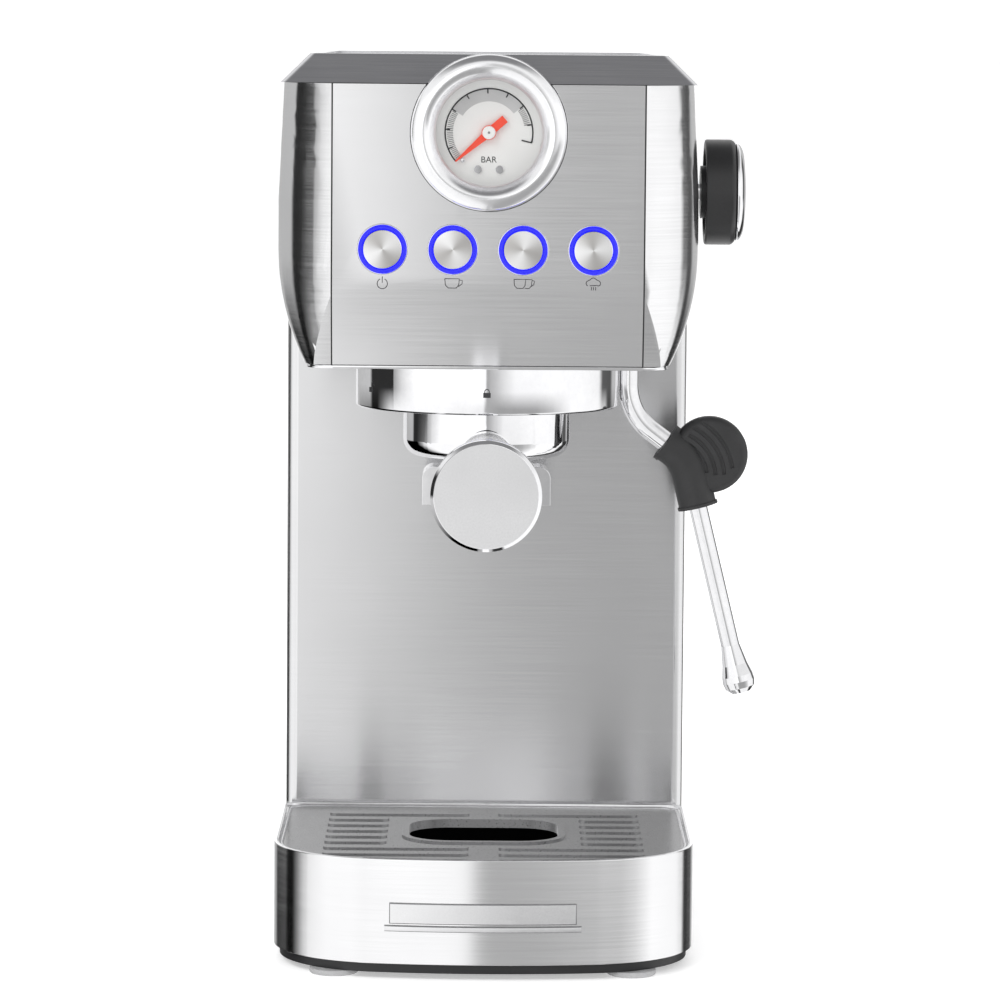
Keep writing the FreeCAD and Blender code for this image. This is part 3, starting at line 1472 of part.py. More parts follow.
hose_shift = size("hose_shift", 10)
hose_drop = size("hose_drop", 16)
hose_end_gap = size("hose_end_gap", 1)
gland_x = size("gland_x", -48)
gland_z = size("gland_z", 10.8)
gland_radius = size("gland_radius", 4.2)
gland_length = size("gland_length", 12)
gland_stand = size("gland_stand", 4)
gland_flare = size("gland_flare", 0.8)


def pump():
    """The vibration pump: a coil on a steel yoke between its inlet and outlet."""
    low_neck, high_neck = pump_radius * pump_inlet_share, pump_radius * pump_outlet_share
    coil_low = pump_inlet + mount_height
    coil_high = pump_length - pump_outlet - mount_height - mount_play
    profile = [(0, 0), (hose_radius, 0), (hose_radius, pump_inlet), (low_neck, pump_inlet),
               (low_neck, coil_low), (pump_radius, coil_low), (pump_radius, coil_high),
               (high_neck, coil_high), (high_neck, pump_length - pump_outlet),
               (hose_radius, pump_length - pump_outlet), (hose_radius, pump_length), (0, pump_length)]
    return turned("pump", "Z", (pump_x, pump_y, pump_low), profile)


def pump_mounts():
    """The two rubber rings that the pump hangs in."""
    rings = []
    lows = (pump_low + pump_inlet, pump_low + pump_length - pump_outlet - mount_height)
    for number, (low, share) in enumerate(zip(lows, (pump_inlet_share, pump_outlet_share))):
        rings.append(turned(f"pump_ring_{number}", "Z", (pump_x, pump_y, low),
                            tube_profile(pump_radius * share, pump_radius, 0, mount_height - mount_play)))
    return group("pump_mounts", *rings)


def thermoblock():
    """The cast aluminium heater above the group, with cooling ribs along it."""
    low = frame_level + frame_sheet
    block = box("heater_block", (-boiler_half, boiler_front, low),
                (boiler_half, boiler_front + boiler_depth, low + boiler_height))
    grooves = []
    for row in range(groove_count):
        start = boiler_front + groove_first + groove_pitch * row
        grooves.append(box(f"heater_groove_{row}",
                           (-boiler_half, start, low + boiler_height - groove_depth),
                           (boiler_half, start + groove_width, low + boiler_height)))
    return cut("thermoblock", block, *grooves)


def brew_valve():
    """The solenoid valve that lets pressure off after a cup."""
    coil = box("valve_coil", (brew_valve_x, brew_valve_y, brew_valve_low),
               (brew_valve_x + brew_coil_width, brew_valve_y + brew_coil_depth,
                brew_valve_low + brew_coil_height))
    stem = cylinder("valve_stem", "Z",
                    (brew_valve_x + brew_coil_width / 2, brew_valve_y + brew_coil_depth / 2,
                     brew_valve_low - brew_stem_below),
                    brew_stem_radius, brew_stem_below + brew_stem_above)
    return fuse("brew_valve", coil, stem)


def main_board():
    """The control board on the frame's left leg, with its relay and capacitor."""
    back, low = board_y + main_board_depth, main_board_low
    sheet_part = box("board_sheet", (-board_x, board_y, low),
                     (-board_x + board_thickness, back, low + main_board_height))
    face = -board_x + board_thickness
    relay = box("board_relay", (face, board_y + relay_size, low + relay_size),
                (face + relay_size, board_y + relay_size * 2, low + relay_size * 2))
    capacitor = cylinder("board_capacitor", "X", (face, back - relay_size, low + relay_size * 2),
                         relay_size / 2, relay_size)
    return fuse("main_board", sheet_part, relay, capacitor)


def hoses():
    """The suction hose from the tank's seat and the pressure hose to the heater."""
    low = base_top + hose_low
    suction = bent_tube("suction_hose",
                        [(pump_x, pump_y, pump_low), (pump_x, pump_y, low),
                         (ZERO, pump_y + hose_shift, low),
                         (ZERO, column_back_y - plastic_wall - hose_end_gap, low)],
                        hose_bend, hose_radius)
    high = frame_level - hose_drop
    stem_x, stem_y = brew_valve_x + brew_coil_width / 2, brew_valve_y + brew_coil_depth / 2
    pressure = bent_tube("pressure_hose",
                         [(pump_x, pump_y, pump_low + pump_length),
                          (pump_x, pump_y, high), (stem_x, stem_y, high),
                          (stem_x, stem_y, brew_valve_low + brew_stem_above)],
                         hose_bend, hose_radius)
    steam = cylinder("steam_hose", "Z", (wand_x, wand_y, frame_level + seam), hose_radius,
                     valve_outlet_z - frame_level - seam * 2)
    return group("hoses", suction, pressure, steam)


def cord_gland():
    """The strain relief bush where the mains lead would enter at the back."""
    bore = gland_radius / 2
    return turned("cord_gland", "-Y", (gland_x, back_y + gland_stand, gland_z),
                  [(bore, 0), (gland_radius - gland_flare, 0), (gland_radius + gland_flare, gland_stand),
                   (gland_radius, gland_stand), (gland_radius, gland_length), (bore, gland_length)])


# ---------------------------------------------------------------- build and write

PIECES = [
    rubber_feet, base_chassis, drip_tray_front, drip_tray, drip_grid, tray_name_plate, column_panel,
    inner_frame, rear_cover, head_fascia, head_top_frame, cup_warmer_plate, head_trim, head_underside,
    gauge_bezel, gauge_case, gauge_dial, gauge_needle, gauge_glass, dial_screws, button_light_rings,
    button_board, steam_knob, steam_knob_cap, steam_spindle, steam_valve, wand_socket, wand_pipe,
    wand_tube, wand_tip, wand_grip, group_collar, group_head, group_gasket, shower_screen, shower_screw,
    portafilter_bowl, filter_basket, basket_clip, portafilter_spout, handle_ferrule, portafilter_handle,
    handle_end_cap, tank_dock, water_tank, tank_lid, tank_valve, pump, pump_mounts, thermoblock,
    brew_valve, main_board, hoses, cord_gland,
]

nodes = [make() for make in PIECES]
nodes.append(head_cheek("head_cheek_left", -1))
nodes.append(head_cheek("head_cheek_right", 1))
for button_name, button_place in zip(button_names, button_places()):
    nodes.append(push_button(button_name, button_place))

doc.recompute()
for thing in doc.Objects:
    if "Invalid" in thing.State or "Error" in thing.State:
        raise RuntimeError(f"{thing.Name} failed: {thing.State}")
os.makedirs("parts", exist_ok=True)
for node in nodes:
    if node.Shape.isNull() or not node.Shape.isValid():
        raise RuntimeError(f"{node.Label} has no sound shape")
    node.Shape.exportStep(f"parts/{node.Label}.step")
print(f"{len(nodes)} parts written")
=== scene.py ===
import json
import logging
import math
from dataclasses import dataclass
from enum import Enum
from functools import cache

import bpy
from mathutils import Matrix, Vector


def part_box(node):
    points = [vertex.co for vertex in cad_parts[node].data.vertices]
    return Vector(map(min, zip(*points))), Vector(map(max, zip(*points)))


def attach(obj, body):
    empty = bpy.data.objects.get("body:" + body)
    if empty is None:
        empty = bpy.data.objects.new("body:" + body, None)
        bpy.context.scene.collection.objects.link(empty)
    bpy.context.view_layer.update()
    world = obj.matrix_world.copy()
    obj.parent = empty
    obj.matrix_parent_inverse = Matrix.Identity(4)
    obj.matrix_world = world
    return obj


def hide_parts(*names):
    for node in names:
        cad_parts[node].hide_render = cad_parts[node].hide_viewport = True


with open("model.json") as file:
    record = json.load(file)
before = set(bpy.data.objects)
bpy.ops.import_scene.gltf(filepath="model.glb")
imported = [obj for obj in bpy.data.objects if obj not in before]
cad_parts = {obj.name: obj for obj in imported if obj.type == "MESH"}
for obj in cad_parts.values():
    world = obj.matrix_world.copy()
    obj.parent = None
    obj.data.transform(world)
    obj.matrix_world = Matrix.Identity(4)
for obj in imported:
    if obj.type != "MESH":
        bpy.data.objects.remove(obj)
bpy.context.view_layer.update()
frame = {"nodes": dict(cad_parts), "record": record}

# Looks of a slim espresso machine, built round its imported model. Sizes are written in millimetres
# and turned to metres where a mesh is made. +X is the machine's right, -Y its front and +Z up.

logging.basicConfig(level=logging.INFO, format="%(message)s")
log = logging.getLogger("espresso")

MM = 0.001
Point = tuple[float, float, float]
Corner = tuple[float, float]
Piece = bpy.types.Object
SMOOTH_ANGLE = math.radians(32)
# How near two points have to be to become one: of a new piece, and of a copied packed one.
MERGE = 0.004 * MM
FINE_MERGE = 0.002 * MM
SLOT_OF = {row["node"]: row["material_slot"] for row in frame["record"]["subparts"]}


def level_of(node: str) -> float:
    """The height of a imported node's middle, in millimetres."""
    low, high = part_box(node)
    return (low.z + high.z) / 2 / MM


def reach_of(node: str, axis: str) -> tuple[float, float]:
    """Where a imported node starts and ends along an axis, in millimetres."""
    low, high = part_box(node)
    return getattr(low, axis) / MM, getattr(high, axis) / MM


# ---------------------------------------------------------------- node helpers

def linear(hex_colour: str) -> tuple[float, float, float, float]:
    """Turn an sRGB hex colour into linear RGBA.

    Args:
        hex_colour: six hex digits after a hash.

    Returns:
        Red, green, blue and an alpha of one.
    """
    parts = [int(hex_colour[place:place + 2], 16) / 255 for place in (1, 3, 5)]
    return (*[p / 12.92 if p <= 0.04045 else ((p + 0.055) / 1.055) ** 2.4 for p in parts], 1.0)


def add_node(tree: bpy.types.NodeTree, kind: str, settings: dict | None = None,
             links: dict | None = None, **options: object) -> bpy.types.Node:
    """Add a node with its socket values, its options and the links that feed it.

    Args:
        tree: the node tree that takes the node.
        kind: the node's Blender type, without its leading ShaderNode.
        settings: input socket name or number to its value.
        links: input socket name or number to the output socket that feeds it.
        options: the node's own properties.

    Returns:
        The new node.
    """
    node = tree.nodes.new(f"ShaderNode{kind}")
    for name, value in options.items():
        setattr(node, name, value)
    for name, value in (settings or {}).items():
        node.inputs[name].default_value = value
    for name, output in (links or {}).items():
        tree.links.new(output, node.inputs[name])
    return node


def blank_tree(owner: bpy.types.Material | bpy.types.World) -> bpy.types.NodeTree:
    """Give a material or a world an empty node tree.

    Args:
        owner: what the tree belongs to.

    Returns:
        The empty tree.
    """
    owner.use_nodes = True
    owner.node_tree.nodes.clear()
    return owner.node_tree


def fill_ramp(node: bpy.types.Node, stops: list[tuple[float, tuple]]) -> None:
    """Write a colour ramp's stops, from the left.

    Args:
        node: a colour ramp node.
        stops: place and RGBA colour of each stop.
    """
    elements = node.color_ramp.elements
    while len(elements) < len(stops):
        elements.new(1.0)
    for element, (place, colour) in zip(elements, stops):
        element.position = place
        element.color = colour


# ---------------------------------------------------------------- finishes

class Work(Enum):
    """How a surface was worked: marks per pitch along X, Y and Z."""

    BRUSHED_ROUND = (0.012, 0.012, 1.0)
    BRUSHED_LENGTH = (1.0, 0.012, 1.0)
    EVEN = (1.0, 1.0, 1.0)


@dataclass(frozen=True)
class Finish:
    """A surface's material and the marks its making left."""

    title: str
    tint: str
    shade: str
    metallic: float
    roughness: float
    spread: float
    pitch: float
    relief: float
    cloud: float
    work: Work = Work.EVEN
    anisotropy: float = 0.0
    coat: float = 0.0
    alpha: float = 1.0
    ior: float | None = None
    glow: float = 0.0

    @cache
    def material(self) -> bpy.types.Material:
        """Build the finish as a node material on object coordinates.

        Returns:
            The material, made once for each finish.
        """
        material = bpy.data.materials.new(self.title)
        tree = blank_tree(material)
        place = add_node(tree, "TexCoord")
        per_metre = 1.0 / (self.pitch * MM)
        marks = add_node(tree, "Mapping",
                         {"Scale": tuple(part * per_metre for part in self.work.value)},
                         {"Vector": place.outputs["Object"]})
        grain = add_node(tree, "TexNoise", {"Scale": 1.0, "Detail": 3.0, "Roughness": 0.6},
                         {"Vector": marks.outputs["Vector"]})
        patches = add_node(tree, "TexNoise",
                           {"Scale": 1.0 / (self.cloud * MM), "Detail": 2.0},
                           {"Vector": place.outputs["Object"]})
        blend = add_node(tree, "Math", {},
                         {0: grain.outputs["Fac"], 1: patches.outputs["Fac"]}, operation="MULTIPLY")
        tone = add_node(tree, "MapRange",
                        {"From Min": 0.12, "From Max": 0.42},
                        {"Value": blend.outputs[0]})
        colour = add_node(tree, "Mix", {6: linear(self.shade), 7: linear(self.tint)},
                          {0: tone.outputs["Result"]}, data_type="RGBA")
        gloss = add_node(tree, "MapRange",
                         {"From Min": 0.3, "From Max": 0.7,
                          "To Min": max(self.roughness - self.spread, 0.01),
                          "To Max": self.roughness + self.spread},
                         {"Value": grain.outputs["Fac"]})
        bump = add_node(tree, "Bump", {"Strength": 0.6, "Distance": self.relief * MM},
                        {"Height": grain.outputs["Fac"]})
        settings: dict = {"Metallic": self.metallic, "Alpha": self.alpha, "Coat Weight": self.coat,
                          "Anisotropic": self.anisotropy}
        if self.ior is not None:
            settings["IOR"] = self.ior
        if self.glow:
            settings["Emission Color"] = linear(self.tint)
            settings["Emission Strength"] = self.glow
        links = {"Base Color": colour.outputs[2], "Roughness": gloss.outputs["Result"],
                 "Normal": bump.outputs["Normal"]}
        if self.anisotropy:
            upwards = add_node(tree, "CombineXYZ", {"Z": 1.0})
            links["Tangent"] = upwards.outputs["Vector"]
        shader = add_node(tree, "BsdfPrincipled", settings, links)
        add_node(tree, "OutputMaterial", {}, {"Surface": shader.outputs["BSDF"]})
        return material


# Stainless sheet, brushed on a belt: long fine scratches that blur reflections across them.
# The scratches are 0.1 mm apart on real sheet and are drawn 0.5 mm apart, so that they show.
BRUSHED_STEEL = Finish("brushed_stainless", "#F2F2F3", "#EDEDEE", 1.0, 0.17, 0.03, 0.5, 0.001, 30.0,
                       work=Work.BRUSHED_ROUND, anisotropy=0.93)
# The column's sheet: the same brush, its tint darker as painted shade for the shadow under the head's
# overhang.
COLUMN_STEEL = Finish("brushed_stainless_column_painted_shade", "#E3E3E4", "#DFDFE0", 1.0, 0.17, 0.01, 0.5, 0.0008,
                      30.0, work=Work.BRUSHED_ROUND, anisotropy=0.93)
# The same sheet laid flat on top, brushed along the machine's width.
BRUSHED_TOP = Finish("brushed_stainless_top", "#ECECED", "#D2D2D4", 1.0, 0.26, 0.05, 0.5, 0.004, 30.0,
                     work=Work.BRUSHED_LENGTH)
# Stainless sheet with a finer brush and polish on the rounded sides: sharper bands of light.
SATIN_STEEL = Finish("satin_stainless", "#F5F5F6", "#EAEAEB", 1.0, 0.16, 0.03, 0.6, 0.002, 40.0,
                     work=Work.BRUSHED_ROUND, anisotropy=0.9)
# Polished stainless: nearly a mirror, with faint buffing marks.
POLISHED_STEEL = Finish("polished_stainless", "#F0F0F1", "#E6E6E8", 1.0, 0.07, 0.02, 1.6, 0.001, 25.0)
# Chrome over a bead-blasted ring: the reflections in it have soft edges.
SOFT_CHROME = Finish("soft_chrome", "#FAFAFB", "#F2F2F4", 1.0, 0.17, 0.02, 2.2, 0.0006, 25.0)
# Chrome plate over moulded or cast parts: a clean bright mirror.
CHROME = Finish("chrome_plate", "#F6F6F7", "#EEEEF0", 1.0, 0.045, 0.012, 2.2, 0.0006, 25.0)
# Bead-blasted and clear-anodised aluminium: pale, even and soft.
SATIN_ALUMINIUM = Finish("satin_anodised_aluminium", "#F4F4F5", "#EAEAEB", 1.0, 0.33, 0.05, 0.6, 0.004,
                         20.0)
# Stainless of the bevelled top edge, brushed along its length, its tint darker as painted shade for the
# angle it faces.
EDGE_STEEL = Finish("edge_stainless_painted_shade", "#E6E6E8", "#D6D6D9", 1.0, 0.2, 0.04, 0.5, 0.003, 30.0,
                    work=Work.BRUSHED_ROUND)
# Moulded ABS with a fine spark-eroded grain.
BLACK_ABS = Finish("black_abs", "#262628", "#1B1B1D", 0.0, 0.42, 0.08, 0.5, 0.02, 20.0)
# The basin's black ABS, matt, with its tint darker than the other ABS as painted shade for the dim
# inside of the tray seen through the drain opening.
BASIN_ABS = Finish("black_abs_painted_basin_shade", "#161617", "#101011", 0.0, 0.7, 0.05, 0.6, 0.01, 20.0, ior=1.06)
# The knob's ABS, a little smoother.
KNOB_ABS = Finish("knob_abs", "#2C2C2D", "#242425", 0.0, 0.36, 0.05, 0.6, 0.008, 12.0)
# Heat-proof silicone rubber, dark grey and dull.
GRIP_RUBBER = Finish("grip_silicone", "#363637", "#2B2B2C", 0.0, 0.55, 0.06, 0.35, 0.012, 9.0)
# Moulded nitrile rubber: near black, with a broad dull sheen.
BLACK_RUBBER = Finish("black_rubber", "#222223", "#191919", 0.0, 0.6, 0.08, 0.5, 0.01, 12.0)
# Light grey thermoplastic rubber of the feet.
GREY_RUBBER = Finish("grey_rubber", "#BDBDBE", "#A9A9AA", 0.0, 0.5, 0.08, 0.5, 0.008, 8.0)
# Powder-coated pressed grid: satin dark grey with a trace of metal.
GRID_COAT = Finish("grey_grid_coat", "#8C8C8D", "#858586", 0.55, 0.28, 0.01, 0.7, 0.0008, 18.0,
                   coat=0.15)
# The grid's edge: a brighter, more metallic coat that is a painted highlight along the rim.
GRID_RIM_HIGHLIGHT = Finish("grid_rim_painted_highlight", "#D2D2D4", "#BDBDBF", 0.8, 0.22, 0.04, 0.7, 0.004, 18.0)
# White enamel print on the dial plate: even and nearly flat.
DIAL_WHITE = Finish("printed_dial_white", "#F2F2F0", "#EAEAE8", 0.0, 0.4, 0.05, 0.3, 0.001, 14.0)
# Light grey band printed over it.
DIAL_GREY = Finish("printed_dial_grey", "#C9C9C9", "#BFBFBF", 0.0, 0.42, 0.05, 0.3, 0.001, 8.0)
# Dark screen-printed ink of signs and scale: crisp and flat.
PRINT_INK = Finish("printed_ink", "#3C3C3E", "#2E2E30", 0.0, 0.5, 0.05, 0.3, 0.001, 8.0)
# Thinner grey ink of the hatching, also used as painted shade for small shadows such as the dark outline
# round the name plate.
GREY_INK_AND_SHADE = Finish("grey_ink_and_painted_shade", "#8F8F90", "#828284", 0.0, 0.5, 0.05, 0.3, 0.001, 8.0)
# Dark strip on a joint: painted shade that reads as the shadowed gap between two sheets.
SEAM_GAP_SHADE = Finish("seam_shadow_strip", "#1C1C1D", "#141415", 0.0, 0.6, 0.05, 0.5, 0.001, 8.0)
# Signal red lacquer on the needle: a clear flat colour, with a weak painted glow though the needle is no
# lamp.
NEEDLE_RED = Finish("signal_red_lacquer_painted_glow", "#F0523C", "#E2452F", 0.0, 0.35, 0.05, 0.4, 0.001, 6.0,
                    glow=0.12)
# Clear window: lets the dial show and keeps a weak gloss.
CLEAR_GLASS = Finish("clear_window", "#141618", "#0E1012", 0.0, 0.02, 0.005, 3.0, 0.0002, 30.0,
                     alpha=0.05, ior=1.49)
# Frosted polycarbonate ring with a blue lamp behind it.
LIT_BLUE = Finish("lit_blue_ring", "#1818F4", "#1212E0", 0.0, 0.3, 0.04, 0.4, 0.002, 5.0, glow=0.85)
# Smoked copolyester of the water tank: dark, glossy and see-through.
SMOKED_TANK = Finish("smoked_copolyester", "#6E7276", "#5C6064", 0.0, 0.07, 0.03, 2.5, 0.004, 60.0,
                     alpha=0.55, ior=1.57)
# Galvanised sheet: dull grey with slow cloudy patches of spangle.
GALVANISED = Finish("galvanised_sheet", "#C6C8CA", "#A6A8AB", 1.0, 0.42, 0.1, 6.0, 0.004, 18.0)
# Cast aluminium as it comes from the mould: grainy and matt.
CAST_ALUMINIUM = Finish("cast_aluminium", "#C8C8CA", "#AEAEB1", 1.0, 0.5, 0.08, 0.8, 0.03, 16.0)
# Turned brass: warm yellow with soft highlights.
BRASS = Finish("turned_brass", "#D8B56A", "#BE9548", 1.0, 0.28, 0.06, 0.6, 0.006, 14.0)
# Solder mask on the boards: glossy dark green.
BOARD_GREEN = Finish("solder_mask", "#1E6B3A", "#14532B", 0.0, 0.3, 0.06, 1.2, 0.006, 10.0)
# Silicone hose: milky and soft.
CLEAR_SILICONE = Finish("silicone_hose", "#DADAD6", "#C6C6C0", 0.0, 0.45, 0.06, 0.8, 0.006, 10.0)
# Lacquered pump body: dark with a metal undertone.
PUMP_BLACK = Finish("lacquered_pump", "#2B2B2E", "#1F1F21", 0.3, 0.35, 0.06, 0.8, 0.006, 14.0)
# Matt studio paper, lit a little by itself so that it keeps white to its far edge.
FLOOR_PAPER = Finish("studio_floor", "#FBFBFB", "#F8F8F8", 0.0, 0.75, 0.05, 4.0, 0.001, 900.0,
                     glow=0.42)


@dataclass(frozen=True)
class TurnedFace:
    """Aluminium faced on a lathe: fine rings, and a painted reflection in the base colour that fans out
    from the middle.
    """

    title: str
    centre: Point
    phase: float
    ring_pitch: float = 0.35

    def material(self) -> bpy.types.Material:
        """Build the turned face about its own middle.

        Returns:
            The material, with rings and painted reflection fans centred on the button.
        """
        material = bpy.data.materials.new(self.title)
        tree = blank_tree(material)
        place = add_node(tree, "TexCoord")
        middle = add_node(tree, "VectorMath", {1: Vector(self.centre) * MM},
                          {0: place.outputs["Object"]}, operation="SUBTRACT")
        turned = add_node(tree, "Mapping", {"Rotation": (-math.pi / 2, 0, 0)},
                          {"Vector": middle.outputs["Vector"]})
        # Painted reflection: the base colour swings between light and dark sectors round the middle,
        # standing in for the glints of a turned face.
        fan = add_node(tree, "TexGradient", {}, {"Vector": turned.outputs["Vector"]},
                       gradient_type="RADIAL")
        angle = add_node(tree, "Math", {1: 4 * math.pi, 2: self.phase},
                         {0: fan.outputs["Fac"]}, operation="MULTIPLY_ADD")
        wave = add_node(tree, "Math", {}, {0: angle.outputs[0]}, operation="SINE")
        sector = add_node(tree, "MapRange",
                          {"From Min": -1.0, "From Max": 1.0},
                          {"Value": wave.outputs[0]})
        colour = add_node(tree, "Mix", {6: linear("#C4C2C0"), 7: linear("#FDFDFD")},
                          {0: sector.outputs["Result"]}, data_type="RGBA")
        length = add_node(tree, "VectorMath", {}, {0: turned.outputs["Vector"]},
                          operation="LENGTH")
        rings = add_node(tree, "Math", {1: 2 * math.pi / (self.ring_pitch * MM)},
                         {0: length.outputs["Value"]}, operation="MULTIPLY")
        groove = add_node(tree, "Math", {}, {0: rings.outputs[0]}, operation="SINE")
        bump = add_node(tree, "Bump", {"Strength": 0.25, "Distance": 0.004 * MM},
                        {"Height": groove.outputs[0]})
        shader = add_node(tree, "BsdfPrincipled", {"Metallic": 1.0, "Roughness": 0.3},
                          {"Base Color": colour.outputs[2], "Normal": bump.outputs["Normal"]})
        add_node(tree, "OutputMaterial", {}, {"Surface": shader.outputs["BSDF"]})
        return material


# ---------------------------------------------------------------- modelling helpers

def deselect() -> None:
    """Leave edit mode and clear the selection."""
    if bpy.context.object and bpy.context.object.mode != "OBJECT":
        bpy.ops.object.mode_set(mode="OBJECT")
    bpy.ops.object.select_all(action="DESELECT")


def pick(piece: Piece) -> None:
    """Make one piece the only selected and active one."""
    deselect()
    piece.select_set(True)
    bpy.context.view_layer.objects.active = piece


def open_mesh(piece: Piece) -> None:
    """Start to edit one piece, with all of its mesh selected."""
    pick(piece)
    bpy.ops.object.mode_set(mode="EDIT")
    bpy.ops.mesh.select_all(action="SELECT")


def close_mesh(angle: float = SMOOTH_ANGLE) -> None:
    """Stop editing and shade the piece smooth up to an angle."""
    bpy.ops.object.mode_set(mode="OBJECT")
    bpy.ops.object.shade_smooth_by_angle(angle=angle)


def moved(piece: Piece, shift: Point) -> None:
    """Move a piece's mesh by a shift in millimetres."""
    open_mesh(piece)
    bpy.ops.transform.translate(value=Vector(shift) * MM)
    bpy.ops.object.mode_set(mode="OBJECT")


def eased(points: list[tuple], radius: float, steps: int = 6) -> list[Vector]:
    """Round a line's inner corners.

    Args:
        points: the line's corners.
        radius: how far from a corner its rounding starts.
        steps: pieces in each rounding.

    Returns:
        The line's points with each corner replaced by a smooth turn.
    """
    path = [Vector(point) for point in points]
    made = [path[0]]
    for before, corner, after in zip(path, path[1:], path[2:]):
        first = (before - corner).normalized() * min(radius, (before - corner).length * 0.48)
        last = (after - corner).normalized() * min(radius, (after - corner).length * 0.48)
        for step in range(steps + 1):
            share = step / steps
            made.append(corner + first * (1 - share) ** 2 + last * share ** 2)
    return made + [path[-1]]


def arc(middle: Corner, radius: float, start: float, end: float, steps: int) -> list[Corner]:
    """Points along an arc, angles in degrees anticlockwise from +u."""
    turns = [math.radians(start + (end - start) * step / steps) for step in range(steps + 1)]
    return [(middle[0] + radius * math.cos(turn), middle[1] + radius * math.sin(turn)) for turn in turns]


def wire(name: str, points: list[tuple]) -> Piece:
    """Draw a line by extruding one vertex from point to point.

    Args:
        name: the piece's name.
        points: the line's points in millimetres.

    Returns:
        The mesh object, left in edit mode with all of the line selected.
    """
    deselect()
    path = [Vector(point) * MM for point in points]
    bpy.ops.mesh.primitive_plane_add(size=MM, location=(0, 0, 0))
    piece = bpy.context.object
    piece.name = piece.data.name = name
    bpy.ops.object.mode_set(mode="EDIT")
    bpy.ops.mesh.select_all(action="SELECT")
    bpy.ops.mesh.merge(type="CENTER")
    bpy.ops.transform.translate(value=path[0])
    for before, after in zip(path, path[1:]):
        bpy.ops.mesh.extrude_region_move(TRANSFORM_OT_translate={"value": after - before})
    bpy.ops.mesh.select_all(action="SELECT")
    return piece


def lathe(name: str, profile: list[Corner], centre: Point, axis: str, steps: int = 96,
          ease: float = 0.0) -> Piece:
    """Turn a profile of (radius, height) corners about an axis.

    Args:
        name: the piece's name.
        profile: corners in millimetres, height measured along the axis from the centre.
        centre: a point on the axis, in millimetres.
        axis: X, Y or Z.
        steps: facets round the turn.
        ease: how far each corner of the profile is rounded.

    Returns:
        The turned piece.
    """
    along = Vector([float(axis == letter) for letter in "XYZ"])
    outwards = Vector((0, 0, 1)) if axis == "X" else Vector((1, 0, 0))
    corners = [(r, h, 0) for r, h in profile]
    flat = eased(corners, ease, 4) if ease else corners
    points = [Vector(centre) + outwards * point[0] + along * point[1] for point in flat]
    piece = wire(name, points)
    bpy.ops.mesh.spin(steps=steps, angle=2 * math.pi, center=Vector(centre) * MM, axis=along)
    bpy.ops.mesh.select_all(action="SELECT")
    bpy.ops.mesh.remove_doubles(threshold=MERGE)
    bpy.ops.mesh.normals_make_consistent(inside=False)
    close_mesh()
    return piece


def tube(name: str, points: list[tuple], radius: float, closed: bool = False,
         sides: int = 2) -> Piece:
    """Make a round bar along a line.

    Args:
        name: the piece's name.
        points: the line's points in millimetres.
        radius: the bar's radius in millimetres.
        closed: whether the last point joins the first.
        sides: the section's resolution.

    Returns:
        The bar as a mesh.
    """
    piece = wire(name, points + [points[0]] if closed else points)
    if closed:
        bpy.ops.mesh.remove_doubles(threshold=MERGE)
    bpy.ops.object.mode_set(mode="OBJECT")
    bpy.ops.object.convert(target="CURVE")
    piece = bpy.context.object
    piece.data.bevel_depth = radius * MM
    piece.data.bevel_resolution = sides
    piece.data.use_fill_caps = True
    bpy.ops.object.convert(target="MESH")
    piece = bpy.context.object
    bpy.ops.object.shade_smooth_by_angle(angle=math.radians(60))
    piece.name = piece.data.name = name
    return piece


def slab(name: str, outline: list[tuple], depth: Point, edge: float = 0.0) -> Piece:
    """Fill an outline and pull it into a plate with eased edges.

    Args:
        name: the piece's name.
        outline: the closed outline's points in millimetres.
        depth: how far and which way the outline is pulled, in millimetres.
        edge: the bevel along the plate's edges.

    Returns:
        The plate.
    """
    piece = wire(name, outline + [outline[0]])
    bpy.ops.mesh.remove_doubles(threshold=MERGE)
    bpy.ops.mesh.edge_face_add()
    bpy.ops.mesh.extrude_region_move(TRANSFORM_OT_translate={"value": Vector(depth) * MM})
    bpy.ops.mesh.select_all(action="SELECT")
    bpy.ops.mesh.normals_make_consistent(inside=False)
    if edge:
        bpy.ops.mesh.select_all(action="DESELECT")
        bpy.ops.mesh.edges_select_sharp(sharpness=math.radians(50))
        bpy.ops.mesh.bevel(offset=edge * MM, segments=2, affect="EDGES", clamp_overlap=True)
    close_mesh()
    return piece


def softened(node: str, edge: float, segments: int = 2, sharp: float = 35.0) -> Piece:
    """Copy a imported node, merge its triangles and bevel its sharp edges.

    Args:
        node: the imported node's name.
        edge: the bevel in millimetres.
        segments: strips across each bevel.
        sharp: the least angle in degrees between faces of an edge that is bevelled.

    Returns:
        The softened copy, standing where the node stands.
    """
    source = frame["nodes"][node]
    piece = source.copy()
    piece.data = source.data.copy()
    for key in list(piece.keys()):
        del piece[key]
    piece.parent = None
    piece.name = piece.data.name = f"{node}_shell"
    bpy.context.scene.collection.objects.link(piece)
    pick(piece)
    if piece.data.has_custom_normals:
        bpy.ops.mesh.customdata_custom_splitnormals_clear()
    bpy.ops.object.mode_set(mode="EDIT")
    bpy.ops.mesh.select_mode(type="EDGE")
    bpy.ops.mesh.select_all(action="SELECT")
    bpy.ops.mesh.remove_doubles(threshold=FINE_MERGE)
    bpy.ops.mesh.dissolve_limited(angle_limit=math.radians(0.4))
    bpy.ops.mesh.select_mode(type="VERT")
    bpy.ops.object.mode_set(mode="OBJECT")
    if edge:
        ease_edges(piece, edge, segments, sharp)
    return piece


